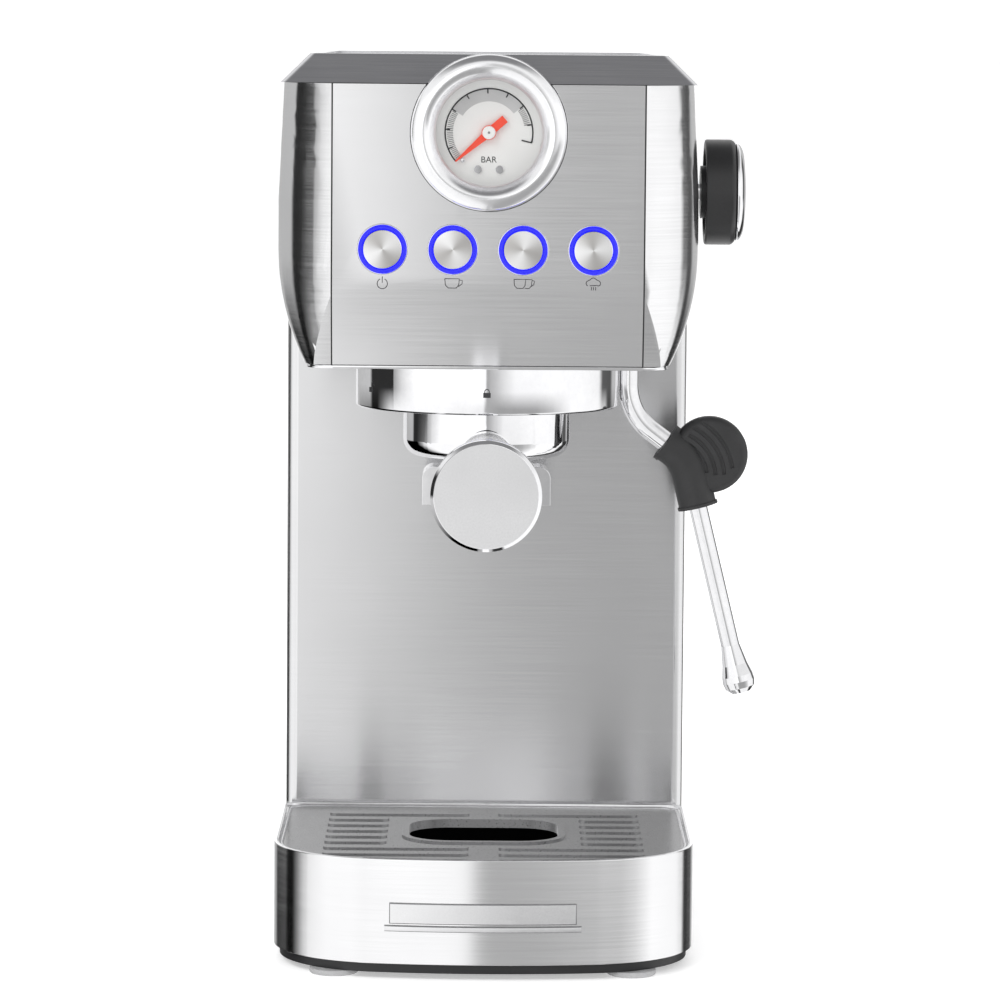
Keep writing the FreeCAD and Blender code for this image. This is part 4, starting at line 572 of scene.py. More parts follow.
def ease_edges(piece: Piece, edge: float, segments: int, sharp: float) -> None:
    """Bevel a piece's sharp edges.

    Args:
        piece: the piece.
        edge: the bevel in millimetres.
        segments: strips across each bevel.
        sharp: the least angle in degrees between faces of an edge that is bevelled.
    """
    pick(piece)
    bpy.ops.object.mode_set(mode="EDIT")
    bpy.ops.mesh.select_mode(type="EDGE")
    bpy.ops.mesh.select_all(action="DESELECT")
    bpy.ops.mesh.edges_select_sharp(sharpness=math.radians(sharp))
    bpy.ops.mesh.bevel(offset=edge * MM, segments=segments, affect="EDGES", clamp_overlap=True)
    bpy.ops.mesh.select_mode(type="VERT")
    close_mesh()
    flatten = piece.modifiers.new("flat_faces", "WEIGHTED_NORMAL")
    flatten.keep_sharp = True
    flatten.weight = 100
    bpy.ops.object.modifier_apply(modifier=flatten.name)


def trim(piece: Piece, place: Point, outwards: Point) -> None:
    """Cut a piece off along a plane and close the cut.

    Args:
        piece: the piece.
        place: a point on the plane, in millimetres.
        outwards: which way the part that is cut off lies.
    """
    open_mesh(piece)
    bpy.ops.mesh.bisect(plane_co=Vector(place) * MM, plane_no=outwards, use_fill=True, clear_outer=True)
    bpy.ops.object.mode_set(mode="OBJECT")


def copied(piece: Piece, name: str, shift: Point) -> Piece:
    """Copy a finished piece with its own mesh and move the copy's mesh.

    Args:
        piece: the piece to copy.
        name: the copy's name.
        shift: how far the copy lies from the piece, in millimetres.

    Returns:
        The copy, its object still at the origin.
    """
    pick(piece)
    bpy.ops.object.duplicate(linked=False)
    twin = bpy.context.object
    twin.name = twin.data.name = name
    moved(twin, shift)
    return twin


def turned_about(piece: Piece, angle: float, axis: str, centre: Point) -> None:
    """Turn a piece's mesh about a point.

    Args:
        piece: the piece.
        angle: degrees, anticlockwise seen from the axis's positive end.
        axis: X, Y or Z.
        centre: the point that stays, in millimetres.
    """
    open_mesh(piece)
    # Without a window the operator turns clockwise, so the angle is negative.
    bpy.ops.transform.rotate(value=-math.radians(angle), orient_axis=axis,
                             center_override=Vector(centre) * MM)
    bpy.ops.object.mode_set(mode="OBJECT")


def joined(name: str, pieces: list[Piece]) -> Piece:
    """Join pieces into one mesh.

    Args:
        name: the joined piece's name.
        pieces: what is joined.

    Returns:
        The joined piece.
    """
    pick(pieces[0])
    for piece in pieces:
        piece.select_set(True)
    bpy.ops.object.join()
    made = bpy.context.object
    made.name = made.data.name = name
    return made


def dress(piece: Piece, finish: Finish | TurnedFace, body: str, slot: str,
          *nodes: str) -> Piece:
    """Give a new piece its finish and the body it rides on, and hide the imported nodes it stands for.

    Args:
        piece: the new piece.
        finish: its finish.
        body: the body it moves with.
        slot: not used.
        nodes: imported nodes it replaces.

    Returns:
        The piece.
    """
    piece.data.materials.clear()
    piece.data.materials.append(finish.material())
    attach(piece, body)
    if nodes:
        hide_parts(*nodes)
    log.info("made %s on %s, %d faces", piece.name, body, len(piece.data.polygons))
    return piece


def stand_in(piece: Piece, finish: Finish | TurnedFace, body: str,
             node: str) -> Piece:
    """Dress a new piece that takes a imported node's place."""
    return dress(piece, finish, body, SLOT_OF[node], node)


def printed(name: str, lines: list[list[Point]], radius: float, finish: Finish, slot: str,
            sides: int = 1) -> None:
    """Print thin raised lines as one piece that stays with the machine.

    Args:
        name: the piece's name.
        lines: the points of each line in millimetres.
        radius: half the width of the lines in millimetres.
        finish: their ink.
        slot: the record's material slot.
        sides: the section's resolution.
    """
    dress(joined(name, [tube(f"{name}_{number}", line, radius, sides=sides)
                        for number, line in enumerate(lines)]), finish, "machine", slot)


def unmirrored(*pieces: Piece) -> None:
    """Keep pieces out of the reflections in the metal round them."""
    for piece in pieces:
        piece.visible_glossy = False


def paint(finish: Finish, *nodes: str) -> None:
    """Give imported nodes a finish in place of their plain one."""
    for node in nodes:
        piece = frame["nodes"][node]
        if not piece.material_slots:
            piece.data.materials.append(finish.material())
        for held in piece.material_slots:
            held.material = finish.material()
        log.info("painted %s with %s", node, finish.title)


def shell(node: str, finish: Finish, body: str, edge: float, segments: int = 2,
          sharp: float = 35.0) -> Piece:
    """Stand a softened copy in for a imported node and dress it."""
    return stand_in(softened(node, edge, segments, sharp), finish, body, node)


# ---------------------------------------------------------------- studio

@dataclass
class Studio:
    """Pale floor, soft light from all round with dark gaps at the sides, and the camera."""

    camera_place: Point = (0.0, -1781.0, 314.0)
    camera_tilt: float = 84.6
    camera_turn: float = -0.16
    camera_roll: float = 0.45
    lens: float = 179.1
    floor_half: float = 60.0
    # Name, place in metres, side in metres and power in watts of each lamp, and what they aim at.
    lamps: tuple[tuple[str, Point, float, float], ...] = (
        ("key_lamp", (-1.3, -1.5, 2.2), 1.6, 26.0), ("back_lamp", (0.2, 1.6, 1.8), 1.6, 16.0))
    aim: Point = (0, 0, 0.16)
    # Slopes between which the surround changes: from the upper levels to the lower ones, from
    # both to plain walls, and from the walls to the sky.
    fall: Corner = (-0.07, -0.15)
    fade: Corner = (0.26, 0.5)
    rise: Corner = (0.62, 0.9)
    walls: tuple[float, ...] = (0.95, 0.95, 0.95, 1.0)
    sky: tuple[float, ...] = (0.24, 0.24, 0.245, 1.0)
    # Heading of each patch of the surround, in degrees from the front towards +X, and its
    # brightness: at the height of the head, and lower down at the height of the tray.
    upper: tuple[Corner, ...] = (
        (-65, 1.2), (-40, 1.2), (-25, 1.2), (-12, 1.34), (-1.6, 1.3), (-0.4, 0.5), (0.8, 0.4),
        (2, 0.5), (8, 0.64), (16, 0.88), (25, 1.1), (60, 1.15), (95, 1.1), (116, 1.0), (122, 0.12),
        (139, 0.10), (145, 0.55), (166, 0.55), (171, 1.2), (189, 1.2), (195, 0.5), (235, 0.6),
        (239, 0.03), (263, 0.03), (271, 0.4), (280, 0.8))
    lower: tuple[Corner, ...] = (
        (-65, 1.12), (-40, 1.12), (-25, 1.05), (-12, 1.05), (-3, 1.02), (-1.2, 0.48), (10, 0.40),
        (45, 0.42), (60, 0.62), (80, 1.15), (128, 1.1), (133, 0.03), (154, 0.05),
        (159, 0.5), (166, 0.6), (171, 1.2), (189, 1.2), (195, 0.5), (205, 0.4), (210, 0.0), (248, 0.0),
        (255, 0.3), (266, 1.0))

    def build(self) -> None:
        """Make the floor, the surround, the lamps and the camera."""
        self.make_floor()
        self.make_world()
        for lamp in self.lamps:
            self.make_lamp(*lamp)
        self.make_camera()
        bpy.context.scene.view_settings.view_transform = "Standard"

    def make_floor(self) -> None:
        """Lay a wide pale floor that the bright metal does not mirror."""
        deselect()
        bpy.ops.mesh.primitive_plane_add(size=2 * self.floor_half, location=(0, 0, 0))
        floor = bpy.context.object
        floor.name = floor.data.name = "studio_floor"
        floor.data.materials.append(FLOOR_PAPER.material())
        floor.visible_glossy = False

    def make_world(self) -> None:
        """Build the surround: a band of light and dark by heading, darker overhead."""
        world = bpy.data.worlds.new("studio_surround")
        bpy.context.scene.world = world
        tree = blank_tree(world)
        place = add_node(tree, "TexCoord")
        heading = add_node(tree, "TexGradient", {}, {"Vector": place.outputs["Generated"]},
                           gradient_type="RADIAL")
        bands = []
        for levels in (self.upper, self.lower):
            ramp = add_node(tree, "ValToRGB", {}, {"Fac": heading.outputs["Fac"]})
            fill_ramp(ramp, sorted((((angle - 90) / 360 + 0.5) % 1.0, (level, level, level, 1.0))
                                   for angle, level in levels))
            bands.append(ramp.outputs["Color"])
        split = add_node(tree, "SeparateXYZ", {}, {"Vector": place.outputs["Generated"]})
        fall, fade, rise = (
            add_node(tree, "MapRange", {"From Min": start, "From Max": end},
                     {"Value": split.outputs["Z"]}, interpolation_type=kind).outputs["Result"]
            for (start, end), kind in ((self.fall, "LINEAR"), (self.fade, "SMOOTHSTEP"),
                                       (self.rise, "SMOOTHSTEP")))
        band = add_node(tree, "Mix", {}, {0: fall, 6: bands[0], 7: bands[1]}, data_type="RGBA")
        walls = add_node(tree, "Mix", {7: self.walls}, {0: fade, 6: band.outputs[2]},
                         data_type="RGBA")
        sky = add_node(tree, "Mix", {7: self.sky}, {0: rise, 6: walls.outputs[2]},
                       data_type="RGBA")
        back = add_node(tree, "Background", {}, {"Color": sky.outputs[2]})
        add_node(tree, "OutputWorld", {}, {"Surface": back.outputs["Background"]})

    def make_lamp(self, name: str, place: Point, width: float, power: float) -> None:
        """Hang a square soft lamp aimed at the machine.

        Args:
            name: the lamp's name.
            place: its place in metres.
            width: its side in metres.
            power: its power in watts.
        """
        deselect()
        bpy.ops.object.light_add(type="AREA", location=place)
        lamp = bpy.context.object
        lamp.name = name
        lamp.data.size = width
        lamp.data.energy = power
        lamp.visible_glossy = False
        aim = Vector(self.aim) - Vector(place)
        lamp.rotation_euler = aim.to_track_quat("-Z", "Y").to_euler()

    def make_camera(self) -> None:
        """Set the camera in front of the machine, slightly above and looking down."""
        deselect()
        bpy.ops.object.camera_add()
        camera = bpy.context.object
        camera.name = "front_camera"
        camera.data.lens = self.lens
        camera.data.clip_end = 200.0
        camera.matrix_world = (Matrix.Translation(Vector(self.camera_place) * MM)
                               @ Matrix.Rotation(math.radians(self.camera_turn), 4, "Z")
                               @ Matrix.Rotation(math.radians(self.camera_tilt), 4, "X")
                               @ Matrix.Rotation(math.radians(self.camera_roll), 4, "Z"))
        bpy.context.scene.camera = camera


# ---------------------------------------------------------------- tray and stand

@dataclass
class Tray:
    """The drip tray: steel skirt with a rolled rim, dark basin, ribbed grid and name plate."""

    half: float = 71.0
    front: float = -155.0
    back: float = -29.4
    bow: float = 230.0
    corner: float = 40.0
    back_corner: float = 7.0
    rim_height: float = reach_of("drip_tray_front", "z")[1] - 0.65
    rim_radius: float = 0.75
    rib_height: float = 1.0
    plate_half: float = 30.8
    plate_low: float = 19.2
    plate_high: float = 25.6
    line_low: float = 16.6
    line_high: float = 18.1
    line_half: float = 32.7
    outline_width: float = 0.3
    outline_depth: float = 0.75

    def outline(self, inset: float) -> list[Corner]:
        """The tray's plan outline moved inwards, anticlockwise from the front's left bow end."""
        half, front, back = self.half - inset, self.front + inset, self.back - inset
        bow, corner, near = self.bow - inset, self.corner - inset, self.back_corner
        middle_y = front + bow
        corner_x = half - corner
        lean = math.degrees(math.asin(corner_x / (bow - corner)))
        corner_y = middle_y - (bow - corner) * math.cos(math.radians(lean))
        return (arc((0, middle_y), bow, 270 - lean, 270 + lean, 12)
                + arc((corner_x, corner_y), corner, 270 + lean, 360, 12)[1:]
                + arc((half - near, back - near), near, 0, 90, 6)
                + arc((near - half, back - near), near, 90, 180, 6)
                + arc((-corner_x, corner_y), corner, 180, 270 - lean, 12)[:-1])

    def build(self) -> None:
        """Make and dress every piece of the tray."""
        shell("drip_tray_front", BRUSHED_STEEL, "tray", 0.35)
        rim = tube("tray_rim", [(x, y, self.rim_height) for x, y in self.outline(0.85)], self.rim_radius,
                   closed=True, sides=3)
        dress(rim, POLISHED_STEEL, "tray", SLOT_OF["drip_tray_front"])
        basin = shell("drip_tray", BASIN_ABS, "tray", 0.3)
        grid = shell("drip_grid", GRID_COAT, "grid", 0.6, 3)
        top = reach_of("drip_grid", "z")[1] - self.rib_height - 0.15
        # A bright tube along the grid's edge: a painted highlight on its rim.
        edge = tube("grid_edge", [(x, y, top) for x, y in self.outline(2.6)], 0.6, closed=True, sides=3)
        dress(edge, GRID_RIM_HIGHLIGHT, "grid", SLOT_OF["drip_grid"])
        unmirrored(basin, grid, edge)
        self.make_plate()

    def make_plate(self) -> None:
        """Cut the raised name plate into a blank bar and a thin line, both with a dark outline of
        painted shade round their edges.
        """
        sizes = ((self.plate_half, self.plate_low, self.plate_high),
                 (self.line_half, self.line_low, self.line_high))
        bars, backs = ([self.plate_piece(f"{name}_{number}", half + grow, low - grow, high + grow)
                        for number, (half, low, high) in enumerate(sizes)]
                       for name, grow in (("name_bar", 0.0), ("name_back", self.outline_width)))
        plate = joined("tray_name_bar", bars)
        ease_edges(plate, 0.2, 2, 40.0)
        outline = joined("tray_name_shade_outline", backs)
        moved(outline, (0, self.outline_depth, 0))
        stand_in(plate, SATIN_ALUMINIUM, "tray", "tray_name_plate")
        # The larger grey copy set behind the bars is painted shade along their edges.
        dress(outline, GREY_INK_AND_SHADE, "tray", SLOT_OF["tray_name_plate"])

    def plate_piece(self, name: str, half: float, low: float, high: float) -> Piece:
        """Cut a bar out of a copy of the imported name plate.

        Args:
            name: the bar's name.
            half: half its width in millimetres.
            low: its lower edge in millimetres.
            high: its upper edge in millimetres.

        Returns:
            The bar, bowed like the skirt.
        """
        bar = softened("tray_name_plate", 0.0)
        bar.name = bar.data.name = name
        trim(bar, (0, 0, low), (0, 0, -1))
        trim(bar, (0, 0, high), (0, 0, 1))
        trim(bar, (half, 0, 0), (1, 0, 0))
        trim(bar, (-half, 0, 0), (-1, 0, 0))
        return bar


@dataclass
class Stand:
    """The base, its feet, the steel column and the back cover."""

    def build(self) -> None:
        """Dress the base, feet, column and back."""
        unmirrored(shell("base_chassis", BLACK_ABS, "machine", 0.4))
        shell("rubber_feet", GREY_RUBBER, "machine", 0.4)
        shell("column_panel", COLUMN_STEEL, "machine", 0.4)
        shell("rear_cover", BLACK_ABS, "machine", 0.4)
        paint(GALVANISED, "inner_frame", "gauge_case")
        paint(BLACK_RUBBER, "cord_gland", "pump_mounts")


# ---------------------------------------------------------------- head

@dataclass
class Head:
    """The head: fascia, rounded cheeks, bevelled top, cup warmer, lower trim and printed signs."""

    fascia_half: float = 51.8
    front: float = -134.0
    tuck: float = 6.0
    low: float = reach_of("head_fascia", "z")[0]
    high: float = reach_of("head_fascia", "z")[1]
    crease: float = 226.9
    sign_height: float = 230.2
    sign_x: tuple[float, ...] = (-34.95, -11.65, 11.65, 34.95)
    sign_line: float = 0.2

    def build(self) -> None:
        """Make and dress every piece of the head."""
        shell("head_fascia", BRUSHED_STEEL, "machine", 0.15)
        shell("head_cheek_left", SATIN_STEEL, "machine", 0.3, sharp=50)
        shell("head_cheek_right", SATIN_STEEL, "machine", 0.3, sharp=50)
        shell("head_top_frame", EDGE_STEEL, "machine", 0.25)
        shell("cup_warmer_plate", BRUSHED_TOP, "machine", 0.3)
        shell("head_trim", CHROME, "machine", 0.3)
        paint(BLACK_ABS, "head_underside")
        self.make_seams()
        self.make_signs()

    def make_seams(self) -> None:
        """Lay the dark strips of painted shade that stand for the gaps between fascia and cheeks."""
        for name, side in (("left_seam", -1), ("right_seam", 1)):
            x = side * self.fascia_half
            line = [(x, self.front + 0.1, self.high), (x, self.front + 0.1, self.crease),
                    (x, self.front + self.tuck + 0.1, self.low)]
            dress(tube(name, line, 0.28), SEAM_GAP_SHADE, "machine", "black_plastic")

    def sign(self, name: str, middle: float, strokes: list[list[Corner]]) -> None:
        """Print one sign on the fascia as thin raised lines.

        Args:
            name: the sign's name.
            middle: the sign's middle along X, in millimetres.
            strokes: lines of (across, up) points about the sign's middle, in millimetres.
        """
        lines = [[(middle + u, self.front + 0.12, self.sign_height + v) for u, v in stroke]
                 for stroke in strokes]
        printed(name, lines, self.sign_line, PRINT_INK, "black_plastic")

    def make_signs(self) -> None:
        """Print the signs for power, one cup, two cups and steam."""
        power, single, double, steam = self.sign_x
        self.sign("power_sign", power, [arc((0, -0.2), 1.7, 115, 425, 20), [(0, 0.1), (0, 2.2)]])
        cup = [(-2.6, 1.6), (2.2, 1.6), (2.0, -0.5), (1.2, -1.5), (-1.4, -1.5), (-2.4, -0.5),
               (-2.6, 1.6)]
        handle = [(2.2, 1.2), (3.2, 1.0), (3.1, -0.1), (1.9, -1.0)]
        self.sign("single_cup_sign", single, [cup, handle])
        small = [(u * 0.8 - 0.9, v * 0.95) for u, v in cup]
        behind = [(0.9, 1.5), (3.0, 1.5), (2.8, -0.6), (2.0, -1.5), (0.6, -1.4)]
        grip = [(3.0, 1.2), (3.8, 1.0), (3.6, -0.2), (2.7, -0.8)]
        self.sign("double_cup_sign", double, [small, behind, grip])
        cloud = (arc((-1.5, 0.4), 0.9, 250, 100, 6) + arc((0, 1.1), 1.1, 150, 30, 6)
                 + arc((1.5, 0.4), 0.9, 80, -70, 6) + [(1.0, -0.3), (-1.2, -0.4)])
        jets = [[(x, -0.8), (x + 0.15, -1.3), (x, -1.9)] for x in (-0.7, 0.0, 0.7)]
        self.sign("steam_sign", steam, [cloud, *jets])


@dataclass
class Gauge:
    """The pressure gauge: chrome bezel, printed dial, red needle and clear window."""

    centre: Point = (0.0, 0.0, level_of("gauge_bezel"))
    face: float = -131.0
    bezel_back: float = -120.0
    bezel_front: float = -140.0
    bezel_step: float = 1.9
    radius: float = 25.9
    opening: float = 17.55
    scale_radius: float = 14.5
    ticks: tuple[float, ...] = (202, 176, 148, 121, 92, 64, 38, 11)
    scale_start: float = 221.3
    scale_end: float = -13.0
    # First and last heading and number of each run of fine hatching.
    hatching: tuple[tuple[int, int, int], ...] = ((218, 150, 26), (36, 12, 10))
    fine_line: float = 0.13
    lift: float = 0.05

    def on_face(self, points: list[Corner], lift: float) -> list[Point]:
        """Place flat points about the gauge's middle a little in front of the dial."""
        return [(u, self.face - lift, self.centre[2] + v) for u, v in points]

    def spoke(self, heading: float, inner: float, outer: float) -> list[Point]:
        """Points on the dial at two radii of one heading in degrees."""
        angle = math.radians(heading)
        ends = [(r * math.cos(angle), r * math.sin(angle)) for r in (inner, outer)]
        return self.on_face(ends, self.lift)

    def build(self) -> None:
        """Make and dress every piece of the gauge."""
        self.make_bezel()
        paint(DIAL_WHITE, "gauge_dial")
        paint(CLEAR_GLASS, "gauge_glass")
        paint(NEEDLE_RED, "gauge_needle")
        unmirrored(bpy.data.objects["gauge_needle"])
        shell("dial_screws", CHROME, "machine", 0.12)
        self.make_print()
        self.make_hub()

    def make_bezel(self) -> None:
        """Turn the bezel: a wide soft face that rolls into a steep inner wall."""
        front, back = self.bezel_front, self.bezel_back
        outer, neck, hole = self.radius, self.radius - self.bezel_step, self.opening - 0.1
        profile = [(neck, back), (outer - 0.25, back), (outer - 0.25, front + 4.2), (outer, front + 3.6),
                   (outer - 0.4, front + 1.8), (outer - 2.4, front + 0.4), (outer - 4.4, front + 0.1),
                   (hole + 2.7, front + 0.7), (hole, front + 3.4), (hole, front + 9.0),
                   (hole + 1.5, front + 9.0), (neck, front + 9.0), (neck, back)]
        bezel = lathe("gauge_bezel_ring", profile, self.centre, "Y", 128, ease=0.8)
        stand_in(bezel, SOFT_CHROME, "machine", "gauge_bezel")

    def sector(self, name: str, inner: float, outer: float, start: float, end: float,
               lift: float) -> Piece:
        """Cut a ring sector that lies on the dial.

        Args:
            name: the piece's name.
            inner: its inner radius in millimetres.
            outer: its outer radius in millimetres.
            start: where it starts, degrees anticlockwise from +X.
            end: where it ends.
            lift: how far it stands in front of the dial.

        Returns:
            The sector as a thin plate.
        """
        line = arc((0, 0), outer, start, end, 24) + arc((0, 0), inner, end, start, 24)
        return slab(name, self.on_face(line, lift), (0, 0.02, 0))

    def make_print(self) -> None:
        """Print the grey band, the fine hatching, the scale line, its ticks and the unit."""
        band = self.sector("dial_grey_band", 10.3, 14.3, 38, 148, 0.05)
        dress(band, DIAL_GREY, "machine", "white_dial")
        hatch = [self.spoke(first + (last - first) * step / (count - 1), 11.9, 13.9)
                 for first, last, count in self.hatching for step in range(count)]
        printed("dial_hatching", hatch, self.fine_line, GREY_INK_AND_SHADE, "white_dial", 0)
        scale = arc((0, 0), self.scale_radius, self.scale_start, self.scale_end, 60)
        lines = [tube("scale_line", self.on_face(scale, self.lift), 0.27, sides=1)]
        for number, tick in enumerate(self.ticks + (self.scale_end,)):
            inner = self.scale_radius - (3.4 if tick == self.scale_end else 1.6)
            ends = self.spoke(tick, inner, self.scale_radius)
            lines.append(tube(f"tick_{number}", ends, 0.25, sides=1))
        dress(joined("dial_scale", lines), PRINT_INK, "machine", "white_dial")
        deselect()
        bpy.ops.object.text_add(location=(0, 0, 0))
        word = bpy.context.object
        word.data.body = "BAR"
        word.data.size = 2.9 * MM
        word.data.align_x = "CENTER"
        word.data.extrude = 0.01 * MM
        word.location = (0, (self.face - 0.05) * MM, (self.centre[2] - 9.9) * MM)
        word.rotation_euler = (math.pi / 2, 0, 0)
        bpy.ops.object.convert(target="MESH")
        bpy.ops.object.transform_apply(location=True, rotation=True, scale=True)
        word = bpy.context.object
        word.name = word.data.name = "dial_unit"
        dress(word, PRINT_INK, "machine", "white_dial")

    def make_hub(self) -> None:
        """Turn the needle's white hub and the chrome cap of its stop pin."""
        stop = lathe("stop_pin_cap", [(0, self.face - 0.95), (0.6, self.face - 0.8),
                                      (0.85, self.face - 0.4), (0.85, self.face), (0, self.face)],
                     (-8.6, 0.0, self.centre[2] - 9.1), "Y", 32, ease=0.15)
        dress(stop, CHROME, "machine", "chrome")
        front = self.face - 2.3
        hub = lathe("needle_hub_cap", [(0, front), (1.9, front), (2.2, front + 0.25), (2.2, front + 0.5),
                                       (0, front + 0.5)], self.centre, "Y", 40)
        dress(hub, DIAL_WHITE, "needle", "white_dial")
        pin = lathe("needle_pin", [(0, front - 0.12), (0.4, front - 0.08), (0.45, front + 0.1),
                                   (0, front + 0.1)], self.centre, "Y", 24)
        dress(pin, GREY_INK_AND_SHADE, "needle", "white_dial")


@dataclass
class Buttons:
    """Four push buttons with turned faces, lit rings and thin chrome edges."""

    pitch: float = 23.3
    height: float = level_of("power_button")
    face: float = -135.3
    ring_face: float = -134.9
    panel: float = -134.0
    radius: float = 6.42
    names: tuple[str, ...] = ("power", "single_cup", "double_cup", "steam")
    # Where the painted reflection sectors of each button's face start, in radians.
    phases: tuple[float, ...] = (0.4, 3.6, 5.4, 1.2)

    def build(self) -> None:
        """Make one button, ring and edge, and copy them along the row."""
        first = -1.5 * self.pitch
        centre = (first, 0.0, self.height)
        cap = lathe("power_button_cap",
                    [(0, self.face), (self.radius - 0.2, self.face), (self.radius, self.face + 0.2),
                     (self.radius, self.face + 7.0), (0, self.face + 7.0)], centre, "Y", 72, ease=0.1)
        ring = lathe("light_ring_1",
                     [(6.55, self.panel + 3.4), (6.55, self.ring_face + 0.25), (6.8, self.ring_face),
                      (7.5, self.ring_face), (7.9, self.ring_face + 0.35), (7.9, self.panel + 3.4),
                      (6.55, self.panel + 3.4)], centre, "Y", 72, ease=0.2)
        edge = lathe("ring_edge_1",
                     [(7.9, self.panel + 1.0), (7.9, self.panel - 0.45), (8.1, self.panel - 0.6),
                      (8.38, self.panel - 0.1), (8.38, self.panel + 0.02), (8.1, self.panel + 1.0),
                      (7.9, self.panel + 1.0)], centre, "Y", 72)
        for number, name in enumerate(self.names):
            shift = (number * self.pitch, 0, 0)
            middle = (first + number * self.pitch, 0.0, self.height)
            own = [cap, ring, edge] if number == 0 else [
                copied(cap, f"{name}_button_cap", shift),
                copied(ring, f"light_ring_{number + 1}", shift),
                copied(edge, f"ring_edge_{number + 1}", shift)]
            face = TurnedFace(f"turned_aluminium_{name}", middle, self.phases[number])
            stand_in(own[0], face, name, f"{name}_button")
            dress(own[1], LIT_BLUE, "machine", "blue_light", "button_light_rings")
            dress(own[2], CHROME, "machine", "chrome")


@dataclass
class SteamKnob:
    """The black knob on the right flank and its domed chrome cap."""

    centre: Point = (0.0, -74.0, level_of("steam_knob"))
    inner: float = reach_of("steam_knob", "x")[0]
    outer: float = reach_of("steam_knob", "x")[1]
    radius: float = 18.0

    def build(self) -> None:
        """Turn the knob and its cap."""
        low, high, radius = self.inner, self.outer, self.radius
        knob = lathe("steam_knob_body",
                     [(9.0, low), (9.0, low + 3.4), (radius - 3, low + 3.4), (radius - 3, low + 1.4),
                      (radius - 0.4, low + 1.4), (radius, low + 1.9), (radius, high - 1.6),
                      (radius - 0.5, high - 0.7), (radius - 1.4, high), (3.0, high), (3.0, low),
                      (9.0, low)],
                     self.centre, "X", 120, ease=0.4)
        stand_in(knob, KNOB_ABS, "knob", "steam_knob")
        rim = radius - 1.15
        cap = lathe("steam_knob_cap_dome",
                    [(0, high + 3.7), (rim * 0.55, high + 3.45), (rim * 0.86, high + 2.7),
                     (rim, high + 1.2), (rim, high + 0.02), (0, high + 0.02)],
                    self.centre, "X", 120, ease=1.6)
        stand_in(cap, CHROME, "knob", "steam_knob_cap")
        paint(POLISHED_STEEL, "steam_spindle")
        paint(BRASS, "steam_valve")


# ---------------------------------------------------------------- wand

@dataclass
class Wand:
    """The steam wand: bent chrome pipe, rubber grip with a finger tab, straight tube and tip."""

    y: float = -70.0
    elbow: Corner = (48.8, 182.7)
    knee: Corner = (69.1, 167.3)
    end: Corner = (84.9, 102.5)
    tab: Corner = (76.9, 168.7)
    tab_radius: float = 13.2
    tab_half: float = 4.3
    # Radius and half the spread in degrees of each finger groove.
    grooves: tuple[Corner, ...] = ((13.6, 26), (16.6, 30), (19.6, 30), (22.6, 25))

    def at(self, point: Corner, depth: float = 0.0) -> Point:
        """A place in the wand's own plane."""
        return (point[0], self.y + depth, point[1])

    def build(self) -> None:
        """Make and dress the wand."""
        paint(POLISHED_STEEL, "wand_pipe", "wand_tube", "wand_tip")
        paint(CHROME, "wand_socket")
        self.make_grip()

    def make_grip(self) -> None:
        """Model the grip: a rimmed sleeve round the knee and a grooved round tab."""
        elbow, knee, end = Vector(self.elbow), Vector(self.knee), Vector(self.end)
        up, down = (elbow - knee).normalized(), (end - knee).normalized()
        start, stop = knee + up * 9.3, knee + down * 17.3
        line = eased([self.at(start), self.at(knee), self.at(stop)], 9.0, 10)
        sleeve = tube("grip_sleeve", line, 6.5, sides=8)
        rims = [tube("grip_rim_low", [self.at(stop - down * 1.0), self.at(stop)], 7.0, sides=8),
                tube("grip_rim_high", [self.at(start), self.at(start - up * 1.6)], 6.9, sides=8)]
        middle = self.at(self.tab)
        radius, half, slope = self.tab_radius, self.tab_half, 1.6
        tab = lathe("grip_tab", [(0, -half), (radius - slope, -half), (radius, slope - half),
                                 (radius, half - slope), (radius - slope, half), (0, half)],
                    middle, "Y", 96, ease=1.2)
        self.cut_grooves(tab, middle)
        grip = joined("wand_grip_rubber", [sleeve, *rims, tab])
        stand_in(grip, GRIP_RUBBER, "wand", "wand_grip")

    def cut_grooves(self, tab: Piece, middle: Point) -> None:
        """Cut four curved finger grooves into both faces of the tab.

        Args:
            tab: the turned tab.
            middle: the tab's middle in millimetres.
        """
        cutters = []
        for face in (-1, 1):
            depth = middle[1] + face * (self.tab_half + 0.15)
            for number, (reach, spread) in enumerate(self.grooves):
                line = [(middle[0] - 14.5 + u, depth, middle[2] - 8.0 + v)
                        for u, v in arc((0, 0), reach, 34 - spread, 34 + spread, 10)]
                cutters.append(tube(f"groove_{face}_{number}", line, 0.75, sides=2))
        cutter = joined("groove_cutters", cutters)
        pick(tab)
        carve = tab.modifiers.new("grooves", "BOOLEAN")
        carve.operation = "DIFFERENCE"
        carve.solver = "EXACT"
        carve.object = cutter
        bpy.ops.object.modifier_apply(modifier=carve.name)
        bpy.data.objects.remove(cutter)
        bpy.ops.object.shade_smooth_by_angle(angle=SMOOTH_ANGLE)


# ---------------------------------------------------------------- brewing

